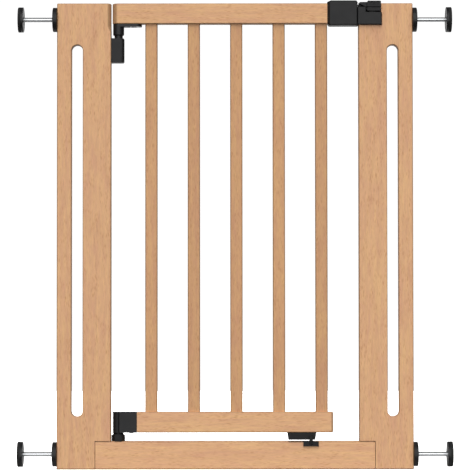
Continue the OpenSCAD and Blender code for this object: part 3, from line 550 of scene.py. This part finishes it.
def stand_board(name, number, mesh, wood, body, node):
    """Stands one board of the gate."""
    mark_boards(mesh, [float(number)] * len(mesh.vertices))
    stand_piece(name, mesh, wood, body, [node])


# ---- Geometry Nodes ----

def start_tree(name, sizes):
    """A tree with a named input for each size, and the sockets that it starts from."""
    tree = bpy.data.node_groups.new(name, "GeometryNodeTree")
    inputs = [("Geometry", "Geometry"), *((size, "Float") for size in sizes),
              ("Material", "Material")]
    for socket, kind in inputs:
        tree.interface.new_socket(name=socket, in_out="INPUT", socket_type=f"NodeSocket{kind}")
    tree.interface.new_socket(name="Geometry", in_out="OUTPUT", socket_type="NodeSocketGeometry")
    return tree, add(tree, "NodeGroupInput").outputs


def end_tree(tree, start, shape):
    """Realizes what the tree has made and gives it its material."""
    real = add(tree, "GeometryNodeRealizeInstances", {0: shape})
    dressed = add(tree, "GeometryNodeSetMaterial", {0: real, "Material": start["Material"]})
    add(tree, "NodeGroupOutput", {0: dressed})
    return tree


def end_at_points(tree, start, shape, links=None):
    """Stands one shape at each point, and ends the tree."""
    row = add(tree, "GeometryNodeInstanceOnPoints",
              {"Points": start["Geometry"], "Instance": shape, **(links or {})})
    return end_tree(tree, start, row)


def grow(tree, seed_mesh, material, sizes):
    """Runs a tree on a mesh and returns the plain mesh that it makes."""
    values = dict(sizes, Material=material)

    def change(worker):
        modifier = worker.modifiers.new("grow", "NODES")
        modifier.node_group = tree
        for socket in tree.interface.items_tree:
            if socket.in_out == "INPUT" and socket.name in values:
                modifier[socket.identifier] = values[socket.name]
    return plain_copy(seed_mesh, change)


def points_mesh(places, facings=()):
    """Loose points to grow from, with the way each one faces."""
    mesh = bpy.data.meshes.new("points")
    mesh.from_pydata([tuple(p) for p in places], [], [])
    if facings:
        values = mesh.attributes.new("facing", "FLOAT_VECTOR", "POINT")
        values.data.foreach_set("vector", [c for f in facings for c in f])
    return mesh


def slat_tree():
    """A row of slats: one rounded bar stood up at each point."""
    tree, start = start_tree("slats", ["Width", "Thickness", "Radius", "Length"])
    outline = add(tree, "GeometryNodeCurvePrimitiveQuadrilateral",
                  {"Width": start["Width"], "Height": start["Thickness"]})
    soft = add(tree, "GeometryNodeFilletCurve", {"Curve": outline, "Count": 6,
                                                 "Radius": start["Radius"]}, mode="POLY")
    top = add(tree, "ShaderNodeCombineXYZ", {"Z": start["Length"]})
    line = add(tree, "GeometryNodeCurvePrimitiveLine", {"End": top})
    sweep = add(tree, "GeometryNodeCurveToMesh", {"Curve": line, "Fill Caps": True,
                                                  "Profile Curve": soft})
    return end_at_points(tree, start, sweep)


def thread_tree():
    """A threaded rod: a fine tube whose radius follows a helix, laid along X."""
    tree, start = start_tree("threaded_rod", ["Diameter", "Length", "Pitch", "Depth", "Rings"])
    radius = add(tree, "ShaderNodeMath", {0: start["Diameter"], 1: 0.5}, operation="MULTIPLY")
    tube = add(tree, "GeometryNodeMeshCylinder", {"Vertices": 28, "Side Segments": start["Rings"],
                                                  "Radius": radius, "Depth": start["Length"]})
    place = add(tree, "GeometryNodeInputPosition")
    parts = add(tree, "ShaderNodeSeparateXYZ", {0: place}).outputs
    turn = add(tree, "ShaderNodeMath", {0: parts["Y"], 1: parts["X"]}, operation="ARCTAN2")
    rise = add(tree, "ShaderNodeMath", {0: parts["Z"], 1: start["Pitch"]}, operation="DIVIDE")
    whole = add(tree, "ShaderNodeMath", {0: rise, 1: 2 * math.pi, 2: turn},
                operation="MULTIPLY_ADD")
    wave = add(tree, "ShaderNodeMath", {0: whole}, operation="COSINE")
    share = add(tree, "ShaderNodeMath", {0: start["Depth"], 1: radius}, operation="DIVIDE")
    groove = add(tree, "ShaderNodeMapRange", {"Value": wave, 1: 0.1, 4: share})
    scale = add(tree, "ShaderNodeMath", {0: 1.0, 1: groove}, operation="SUBTRACT")
    wide = add(tree, "ShaderNodeCombineXYZ", {0: scale, 1: scale, 2: 1.0})
    moved = add(tree, "ShaderNodeVectorMath", {0: place, 1: wide}, operation="MULTIPLY")
    cut = add(tree, "GeometryNodeSetPosition", {"Geometry": tube, "Position": moved})
    laid = add(tree, "GeometryNodeTransform", {"Geometry": cut, "Rotation": (0, math.pi / 2, 0)})
    return end_at_points(tree, start, laid)


def screw_tree():
    """Screw heads with a cross recess, one at each point, turned the way that it faces."""
    tree, start = start_tree("screw_heads", ["Diameter", "Height", "Recess"])
    radius = add(tree, "ShaderNodeMath", {0: start["Diameter"], 1: 0.5}, operation="MULTIPLY")
    disc = add(tree, "GeometryNodeMeshCylinder", {"Vertices": 32, "Radius": radius,
                                                  "Depth": start["Height"]})
    down = add(tree, "ShaderNodeMath", {0: start["Height"], 1: -0.5}, operation="MULTIPLY")
    sunk = add(tree, "ShaderNodeCombineXYZ", {"Z": down})
    head = add(tree, "GeometryNodeTransform", {"Geometry": disc, "Translation": sunk})
    slot = add(tree, "ShaderNodeMath", {0: start["Recess"], 1: 0.24}, operation="MULTIPLY")
    deep = add(tree, "ShaderNodeMath", {0: start["Height"], 1: 1.1}, operation="MULTIPLY")
    one_way = add(tree, "ShaderNodeCombineXYZ", {0: start["Recess"], 1: slot, 2: deep})
    other_way = add(tree, "ShaderNodeCombineXYZ", {0: slot, 1: start["Recess"], 2: deep})
    blade = add(tree, "GeometryNodeMeshCube", {"Size": one_way})
    other = add(tree, "GeometryNodeMeshCube", {"Size": other_way})
    cut = add(tree, "GeometryNodeMeshBoolean", {"Mesh 1": head, "Mesh 2": blade},
              operation="DIFFERENCE", solver="EXACT")
    fill(tree, cut, {"Mesh 2": other})
    facing = add(tree, "GeometryNodeInputNamedAttribute", {"Name": "facing"},
                 data_type="FLOAT_VECTOR")
    aim = add(tree, "FunctionNodeAlignRotationToVector", {"Vector": facing}, axis="Z")
    spin = add(tree, "FunctionNodeRandomValue", {3: math.pi / 2, "Seed": 11},
               data_type="FLOAT")
    turn = add(tree, "ShaderNodeCombineXYZ", {"Z": spin})
    turned = add(tree, "FunctionNodeRotateRotation", {0: aim, 1: turn}, rotation_space="LOCAL")
    return end_at_points(tree, start, cut, {"Rotation": turned})


def flute_tree():
    """Finger flutes round the rim of a turned wheel about the X axis."""
    tree, start = start_tree("flutes", ["Count", "Depth", "Rim", "Height"])
    place = add(tree, "GeometryNodeInputPosition")
    parts = add(tree, "ShaderNodeSeparateXYZ", {0: place}).outputs
    level = add(tree, "ShaderNodeMath", {0: parts["Z"], 1: start["Height"]},
                operation="SUBTRACT")
    turn = add(tree, "ShaderNodeMath", {0: level, 1: parts["Y"]}, operation="ARCTAN2")
    many = add(tree, "ShaderNodeMath", {0: turn, 1: start["Count"]}, operation="MULTIPLY")
    wave = add(tree, "ShaderNodeMath", {0: many}, operation="COSINE")
    dip = add(tree, "ShaderNodeMapRange", {"Value": wave, 4: start["Depth"]})
    # The flutes fade towards the wheel's middle.
    flat = add(tree, "ShaderNodeCombineXYZ", {1: parts["Y"], 2: level})
    out = add(tree, "ShaderNodeVectorMath", {0: flat}, operation="LENGTH")
    share = add(tree, "ShaderNodeMath", {0: out, 1: start["Rim"]}, operation="DIVIDE")
    edge = add(tree, "ShaderNodeMapRange", {"Value": share, 1: 0.80, 2: 0.99})
    depth = add(tree, "ShaderNodeMath", {0: dip, 1: edge}, operation="MULTIPLY")
    inward = add(tree, "ShaderNodeVectorMath", {0: flat}, operation="NORMALIZE")
    less = add(tree, "ShaderNodeMath", {0: depth, 1: -1.0}, operation="MULTIPLY")
    step = add(tree, "ShaderNodeVectorMath", {0: inward, "Scale": less}, operation="SCALE")
    cut = add(tree, "GeometryNodeSetPosition", {"Geometry": start["Geometry"], "Offset": step})
    return end_tree(tree, start, cut)


def rib_tree():
    """Fine rounded ribs across a thumb block, one at each point."""
    tree, start = start_tree("grip_ribs", ["Length", "Thickness"])
    half = add(tree, "ShaderNodeMath", {0: start["Length"], 1: 0.5}, operation="MULTIPLY")
    back = add(tree, "ShaderNodeMath", {0: start["Length"], 1: -0.5}, operation="MULTIPLY")
    one_end = add(tree, "ShaderNodeCombineXYZ", {"X": back})
    other_end = add(tree, "ShaderNodeCombineXYZ", {"X": half})
    line = add(tree, "GeometryNodeCurvePrimitiveLine", {"Start": one_end, "End": other_end})
    thick = add(tree, "ShaderNodeMath", {0: start["Thickness"], 1: 0.5}, operation="MULTIPLY")
    ring = add(tree, "GeometryNodeCurvePrimitiveCircle", {"Resolution": 12, "Radius": thick})
    rib = add(tree, "GeometryNodeCurveToMesh", {"Curve": line, "Fill Caps": True,
                                                "Profile Curve": ring})
    return end_at_points(tree, start, rib)


# ---- Wooden frame ----

def slot_cutter(side, low, high):
    """Long slot through a post, its rims eased by a router."""
    outer = max(abs(low.x), abs(high.x))
    half = SLOT_WIDTH / 2
    middle = side * (outer - SLOT_EDGE - half)
    face = high.y
    turns = [math.radians(a) for a in (0, 18, 36, 54, 72, 86)]
    rim = [(face - SLOT_EASE + SLOT_EASE * math.sin(t), SLOT_EASE * (1 - math.cos(t)))
           for t in turns]
    depths = [(face + MM, SLOT_EASE)] + rim[::-1]
    depths = [(-y, wider) for y, wider in depths] + depths[::-1]
    rings = []
    for y, wider in depths:
        wide = half + wider
        corners = (middle - wide, SLOT_FOOT - wider, middle + wide, high.z - SLOT_HEAD + wider)
        rings.append([(x, y, z) for x, z in rounded(*corners, [wide - HAIR] * 4, 0.0, 14)])
    return loft(rings)


def post_shell(low, high, relieved):
    """Outside of a post.  The hinge post's inner edges are rounded further beside the top rail."""
    stations = eased(low.z, high.z, EDGE)
    fade = high.z - RELIEF_LENGTH - RUN_OUT / 2
    run_out = [(fade + RUN_OUT * k / 8, 0.0) for k in range(9)]
    stations = stations[:EASE_STEPS + 1] + run_out + stations[EASE_STEPS + 1:]
    rings = []
    for z, inset in stations:
        share = min(max((z - fade) / RUN_OUT, 0.0), 1.0)
        inner = EDGE + relieved * (RELIEF_RADIUS - EDGE) * math.sin(share * math.pi / 2)
        radii = [EDGE, inner, inner, EDGE]
        outline = rounded(low.x, low.y, high.x, high.y, radii, inset, 8)
        rings.append([(x, y, z) for x, y in outline])
    return loft(rings)


def lap_screw_places():
    """Where the screws of the two lap joints meet the back face."""
    low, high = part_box("lap_screws")
    inset = SCREW_HEAD / 2
    rows, columns = (low.z + inset, high.z - inset), (low.x + inset, high.x - inset)
    return [(x, z) for x in columns for z in rows]


def post_cutters(name, side, low, high):
    """Everything that is cut out of a post: slot, lap, bores, screw seats and keeper's notch."""
    inner = high.x if side < 0 else low.x
    sill_low, sill_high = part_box("threshold_rail")
    tip = max(abs(sill_low.x), abs(sill_high.x))
    tools = [slot_cutter(side, low, high)]
    x0, x1 = sorted((inner - side * MM, side * (tip + SHADOW_GAP)))
    tools.append(block((x0, low.y - MM, -MM), (x1, 0.0, sill_high.z + SHADOW_GAP)))
    for level in LEVELS:
        rod_low, rod_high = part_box(f"rod_{name}_{level}")
        start, stop = sorted((side * BORE_START, side * (abs(inner) + 100 * MM)))
        tools.append(drill("X", 0.0, (rod_low.z + rod_high.z) / 2, ROD_BORE, start, stop))
    for x, z in lap_screw_places():
        if x * side > 0:
            seat = SCREW_HEAD / 2 + 0.05 * MM
            tools.append(drill("Y", x, z, seat, high.y - 2 * MM, high.y + MM))
    if side > 0:
        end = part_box("keeper_rear")[1].x - MM
        foot, track = high.z - NOTCH_DEPTH, high.z - TRACK_DEPTH
        tools.append(block((low.x - MM, low.y - MM, foot),
                           (low.x + NOTCH_LENGTH, high.y + MM, track + MM)))
        tools.append(block((low.x - MM, low.y - MM, track), (end, high.y + MM, high.z + MM)))
    return tools


def build_posts():
    """Two slotted posts with their laps, bores and notch."""
    for number, (name, side) in enumerate(SIDES.items(), 1):
        low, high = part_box(f"{name}_post")
        tools = post_cutters(name, side, low, high)
        mesh = post_shell(low, high, side < 0)
        for tool in tools:
            mesh = combine(mesh, tool)
        stand_board(f"{name}_post_board", number, mesh, BEECH_UP, "frame", f"{name}_post")


def build_threshold():
    """Threshold rail, half lapped over the foot of each post."""
    low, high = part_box("threshold_rail")
    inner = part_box("right_post")[0].x
    radii = [EDGE, EDGE, EDGE, 3 * MM]
    mesh = bar("X", (low.y, low.z, high.y, high.z), radii, low.x, high.x, 1.2 * MM)
    for side in SIDES.values():
        x0, x1 = sorted((side * inner, side * (high.x + MM)))
        mesh = combine(mesh, block((x0, 0.0, low.z - MM), (x1, high.y + MM, high.z + MM)))
    stand_board("threshold_board", 3, mesh, BEECH_ALONG, "frame", "threshold_rail")


# ---- Wooden leaf ----

def slat_mortises(z0, z1):
    """Mortises for the slats' ends."""
    tools = []
    for slat in SLATS:
        low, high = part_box(slat)
        corners = (low.x - MORTISE_GAP, low.y - MORTISE_GAP,
                   high.x + MORTISE_GAP, high.y + MORTISE_GAP)
        tools.append(bar("Z", corners, [1.75 * MM] * 4, z0, z1, HAIR, 3))
    return joined(tools)


def build_rails():
    """Top rail with its half-round end, and bottom rail with its tenon."""
    slat_foot, slat_top = (corner.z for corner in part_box(SLATS[0]))
    low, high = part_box("top_rail")
    half = (high.y - low.y) / 2 - HAIR
    ends = [half, CROSS_CUT, CROSS_CUT, half]
    mesh = bar("Z", (low.x, low.y, high.x, high.y), ends, low.z, high.z, EDGE, 12)
    mesh = combine(mesh, slat_mortises(low.z - MM, slat_top + MORTISE_GAP))
    stand_board("top_rail_board", 4, mesh, BEECH_ALONG, "leaf", "top_rail")

    low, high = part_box("bottom_rail")
    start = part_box("lower_hinge_bracket")[1].x
    ends = [CROSS_CUT, 4.5 * MM, 4.5 * MM, CROSS_CUT]
    mesh = bar("Z", (start, low.y, high.x, high.y), ends, low.z, high.z, EDGE, 8)
    tenon = block((low.x, low.y + TENON_WALL, low.z + TENON_WALL),
                  (start + 5 * MM, high.y - TENON_WALL, high.z - TENON_WALL))
    mesh = combine(mesh, tenon, "UNION")
    mesh = combine(mesh, slat_mortises(slat_foot - MORTISE_GAP, high.z + MM))
    stand_board("bottom_rail_board", 5, mesh, BEECH_ALONG, "leaf", "bottom_rail")


def build_slats():
    """Five slats between the rails."""
    low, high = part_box(SLATS[0])
    boxes = [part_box(slat) for slat in SLATS]
    seeds = points_mesh([((start.x + end.x) / 2, 0.0, start.z) for start, end in boxes])
    mark_boards(seeds, [6.0, 7.0, 8.0, 9.0, 10.0])
    sizes = {"Width": high.x - low.x, "Thickness": high.y - low.y, "Radius": SLAT_RADIUS,
             "Length": high.z - low.z}
    mesh = grow(slat_tree(), seeds, BEECH_SLAT, sizes)
    stand_piece("slats", mesh, BEECH_SLAT, "leaf", SLATS)


# ---- Moulded parts ----

def slide_shade_web(low, high):
    """Web along the back of the bolt: a dark sheet that stands for the shade under its sloping
    nose and closes the daylight there.
    """
    return block((low.x - 0.3 * MM, WEB_FRONT, high.z - 9.5 * MM),
                 (low.x + 14.7 * MM, WEB_BACK, high.z - 2.1 * MM))


def keeper_shade_rib(low, high):
    """Low rib on the keeper: a dark sheet that stands for the shade under the bolt and closes the
    daylight there.
    """
    return block((low.x + 7.3 * MM, WEB_FRONT, high.z - 14.5 * MM),
                 (low.x + 14.2 * MM, WEB_BACK, high.z - 10.15 * MM))


def thumb_top(low, high):
    """Shaving off the top of the thumb block, so that its ribs end level with the lock."""
    return block((high.x - THUMB_LENGTH - MM, low.y - MM, high.z - RIB / 2),
                 (high.x + MM, high.y + MM, high.z + MM))


def barrel_grooves():
    """Sloping grooves that set the barrel of the lower bracket off from its box, on both faces."""
    low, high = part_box("lower_hinge_bracket")
    root, deep = low.x + 12.4 * MM, 2.6 * MM
    run = 6.4 * MM
    tools = []
    for face, inward in ((low.y, 1), (high.y, -1)):
        corners = [(root, face + inward * deep), (root, face - inward * MM),
                   (root - run, face - inward * MM)]
        tools.append(loft([[(x, y, z) for x, y in corners] for z in (low.z - MM, high.z + MM)]))
    return tools


def build_mouldings():
    """Lock, keeper, hinge parts and stops, each with soft moulded edges."""
    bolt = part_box("lock_slide")
    # The two webs are dark sheets standing for the shade in the gaps round the bolt.
    changes = {
        "lock_slide": [(slide_shade_web(*bolt), "UNION"), (thumb_top(*bolt), "DIFFERENCE")],
        "keeper_rear": [(keeper_shade_rib(*bolt), "UNION")],
        "lower_hinge_bracket": [(groove, "DIFFERENCE") for groove in barrel_grooves()],
    }
    # Each with its body, the rounding of its edges in millimetres and its finish.
    parts = [
        ("lock_case_front", "leaf", 1.1, NYLON), ("lock_case_rear", "leaf", 1.1, NYLON),
        ("keeper_front", "frame", 1.1, NYLON), ("keeper_rear", "frame", 1.1, NYLON),
        ("lock_slide", "lock_slide", 0.8, NYLON), ("hinge_socket", "frame", 1.1, NYLON),
        ("hinge_foot", "frame", 0.6, DEEP_NYLON), ("stop_tab", "frame", 0.5, DEEP_NYLON),
        ("stop_block", "leaf", 0.8, DEEP_NYLON),
        ("upper_hinge_bracket", "leaf", 0.7, TURNED_NYLON),
        ("lower_hinge_bracket", "leaf", 0.8, NYLON),
    ]
    for node, body, soft, finish in parts:
        mesh = clean_copy(node)
        for tool, operation in changes.get(node, []):
            mesh = combine(mesh, tool, operation)
        stand_piece(f"{node}_moulding", mesh, finish, body, [node],
                    bevel=soft * MM)


def build_thumb_ribs():
    """Ribs across the front and the top of the thumb block."""
    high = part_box("lock_slide")[1]
    middle = (high.x - THUMB_LENGTH + high.x) / 2
    on_front = [(THUMB_FACE, high.z - (2.4 + 1.7 * k) * MM) for k in range(4)]
    on_top = [((-9 + 3 * k) * MM, high.z - RIB / 2) for k in range(7)]
    places = [(middle, y, z) for y, z in on_front + on_top]
    mesh = grow(rib_tree(), points_mesh(places), NYLON, {"Length": 19 * MM, "Thickness": RIB})
    stand_piece("thumb_ribs", mesh, NYLON, "lock_slide")


# ---- Wall spindles ----

def turned_size(node):
    """How far a turned part's two ends lie from the middle of the gate, and its radius."""
    low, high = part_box(node)
    near, far = sorted((abs(low.x), abs(high.x)))
    return near, far, (high.z - low.z) / 2


def wheel_profile(inner, outer, radius):
    """Hand wheel: a broad flat rim with crisp corners, a domed face and a hub for the nut."""
    corner = 0.3 * MM
    rim = outer - 1.1 * MM
    points = [(inner, ROD_BORE), (inner, radius - corner), (inner + corner, radius),
              (rim - corner, radius), (rim, radius - corner)]
    for k in range(9):
        t = math.radians(90 * k / 8)
        points.append((rim + (outer - rim) * math.sin(t),
                       13.6 * MM + (radius - 14.1 * MM) * math.cos(t)))
    hub = [(1.2, 12.6), (1.2, 11.2), (0.2, 10.2), (0, 9.9), (0, 8.4), (0.4, 7.7), (5.2, 7.7)]
    points += [(outer - sunk * MM, reach * MM) for sunk, reach in hub]
    return points + [(outer - 5.2 * MM, ROD_BORE), (inner, ROD_BORE)]


def plate_profile(near, face, far, radius):
    """Pad plate: shallow dish towards the rod, a crisp rim and a boss into the rubber."""
    rod = 4.05 * MM
    return [
        (near + 0.2 * MM, rod), (near + 0.2 * MM, 6.4 * MM), (near + 0.5 * MM, 7.0 * MM),
        (near + 0.5 * MM, radius - 2.6 * MM), (near, radius - 2.0 * MM),
        (near, radius - 0.5 * MM), (near + 0.5 * MM, radius), (face - 0.3 * MM, radius),
        (face, radius - 0.3 * MM), (face, 8 * MM), (far, 8 * MM), (far, 3 * MM),
        (far - 1.1 * MM, rod), (near + 0.2 * MM, rod),
    ]


def rubber_profile(face, wall, far, radius):
    """Rubber face: a soft outer rim and three rings that grip the wall."""
    seat, core = 8.05 * MM, 0.4 * MM
    points = [(face, seat), (face, radius - 0.3 * MM), (face + 0.3 * MM, radius),
              (wall - 0.9 * MM, radius), (wall - 0.3 * MM, radius - 0.3 * MM),
              (wall, radius - 0.9 * MM)]
    for ring in range(3):
        edge = radius - (4.5 + 5 * ring) * MM
        points += [(wall, edge), (wall - 0.8 * MM, edge - 0.6 * MM),
                   (wall - 0.8 * MM, edge - 1.4 * MM), (wall, edge - 2 * MM)]
    boss = far + 0.05 * MM
    return points + [(wall, core), (boss, core), (boss, seat), (face, seat)]


def build_spindles():
    """Four threaded rods, each with its hand wheel, nut and wall pad."""
    threads = thread_tree()
    flutes = flute_tree()
    for tag, side in SPINDLES:
        spindle, wheel = f"spindle_{tag}", f"wheel_{tag}"

        low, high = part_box(f"rod_{tag}")
        length = high.x - low.x
        height = (low.z + high.z) / 2
        sizes = {"Diameter": 8 * MM, "Length": length, "Pitch": PITCH, "Depth": THREAD_DEPTH,
                 "Rings": round(length / PITCH * 8)}
        middle = points_mesh([((low.x + high.x) / 2, 0.0, height)])
        mesh = grow(threads, middle, ZINC, sizes)
        stand_piece(f"threaded_rod_{tag}", mesh, ZINC, spindle, [f"rod_{tag}"],
                    soften=80)

        inner, outer, radius = turned_size(f"wheel_{tag}")
        radius += WHEEL_SWELL
        turned = turned_ring(wheel_profile(inner, outer, radius), side, height, 4 * FLUTES)
        sizes = {"Count": float(FLUTES), "Depth": FLUTE_DEPTH, "Rim": radius, "Height": height}
        mesh = grow(flutes, turned, TURNED_NYLON, sizes)
        stand_piece(f"hand_wheel_{tag}", mesh, TURNED_NYLON, wheel,
                    [f"wheel_{tag}"], soften=50)
        stand_piece(f"hex_nut_{tag}", clean_copy(f"nut_{tag}"), ZINC, wheel,
                    [f"nut_{tag}"], bevel=0.5 * MM)

        near, far, radius = turned_size(f"pad_{tag}")
        face, wall, _ = turned_size(f"rubber_{tag}")
        plate = turned_ring(plate_profile(near, face, far, radius), side, height, PAD_FACETS)
        stand_piece(f"pad_plate_{tag}", plate, PLATE_NYLON, spindle,
                    [f"pad_{tag}"])
        rubber = turned_ring(rubber_profile(face, wall, far, radius), side, height, PAD_FACETS)
        stand_piece(f"pad_rubber_{tag}", rubber, RUBBER, spindle,
                    [f"rubber_{tag}"])


# ---- Screws and plain solids ----

def screw_places(node, facing):
    """Centres of the heads of a group of screws, from the rims of its solids."""
    axis = [abs(c) for c in facing].index(1)
    points = [(v.co[axis] * facing[axis], v.co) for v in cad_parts[node].data.vertices]
    top = max(reach for reach, _ in points)
    rim = [point for reach, point in points if abs(reach - top) < HAIR]
    groups = []
    for point in rim:
        for group in groups:
            if (group[0] - point).length < SCREW_HEAD * 1.25:
                group.append(point)
                break
        else:
            groups.append([point])
    centres = []
    for group in groups:
        low = Vector([min(p[i] for p in group) for i in range(3)])
        high = Vector([max(p[i] for p in group) for i in range(3)])
        centres.append((low + high) / 2)
    return centres


def build_screws():
    """Cross-recessed screw heads, one piece for each body that carries them."""
    heads = screw_tree()
    back, front, down, inward = (0, 1, 0), (0, -1, 0), (0, 0, -1), (1, 0, 0)
    groups = [
        ("frame_screws", "frame", ZINC, "zinc_steel",
         [("lap_screws", back), ("keeper_screws", back)]),
        ("frame_black_screws", "frame", BLACK_STEEL, "black_steel",
         [("socket_screw", inward), ("stop_tab_screw", front)]),
        ("leaf_screws", "leaf", ZINC, "zinc_steel",
         [("lock_case_screws", back), ("upper_bracket_screws", down),
          ("stop_block_screws", down)]),
        ("leaf_black_screw", "leaf", BLACK_STEEL, "black_steel", [("lower_bracket_screw", down)]),
    ]
    sizes = {"Diameter": SCREW_HEAD - 0.1 * MM, "Height": 1.4 * MM, "Recess": 4.4 * MM}
    for name, body, finish, slot, screws in groups:
        heads_at = [(centre, facing) for node, facing in screws
                    for centre in screw_places(node, facing)]
        places, facings = zip(*heads_at)
        mesh = grow(heads, points_mesh(places, facings), finish, sizes)
        stand_piece(name, mesh, finish, body, [node for node, _ in screws])


def finish_solids():
    """The solids that are right as they are and only need their finish."""
    for node, finish in (("upper_hinge_pin", TURNED_NYLON), ("lower_hinge_pin", BLACK_STEEL),
                         ("slide_spring", ZINC)):
        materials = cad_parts[node].data.materials
        materials.clear()
        materials.append(finish)


# ---- The gate ----

scene.view_settings.view_transform = "Standard"
set_up_camera()
raise_tent()
hang_lamps()
lay_floor()

UPRIGHT = (1.0, 1.0, 0.09)
LEVEL = (0.09, 1.0, 1.0)
BEECH_UP = lacquered_beech("lacquered_beech_upright", UPRIGHT, "#DDAF7E", "#D19E7A", 1.0)
BEECH_SLAT = lacquered_beech("lacquered_beech_slat", UPRIGHT, "#DEAD78", "#D29C75", 0.87)
BEECH_ALONG = lacquered_beech("lacquered_beech_level", LEVEL, "#DDAF7E", "#D19E7A", 1.03)
NYLON = moulded_nylon("moulded_nylon", "#171718", 0.5, 0.04 * MM)
TURNED_NYLON = moulded_nylon("smooth_nylon", "#19191A", 0.4, 0.01 * MM)
DEEP_NYLON = moulded_nylon("deep_black_nylon", "#141415", 0.62, 0.02 * MM)
PLATE_NYLON = moulded_nylon("burnished_nylon", "#19191A", 0.31, 0.01 * MM)
RUBBER = pressed_rubber()
ZINC = steel("zinc_plated_steel", "#D4D7DA", "#EEF0F1", 0.24)
BLACK_STEEL = steel("black_oxide_steel", "#1B1B1C", "#2A2A2B", 0.42)

build_posts()
build_threshold()
build_rails()
build_slats()
build_mouldings()
build_thumb_ribs()
build_spindles()
build_screws()
finish_solids()
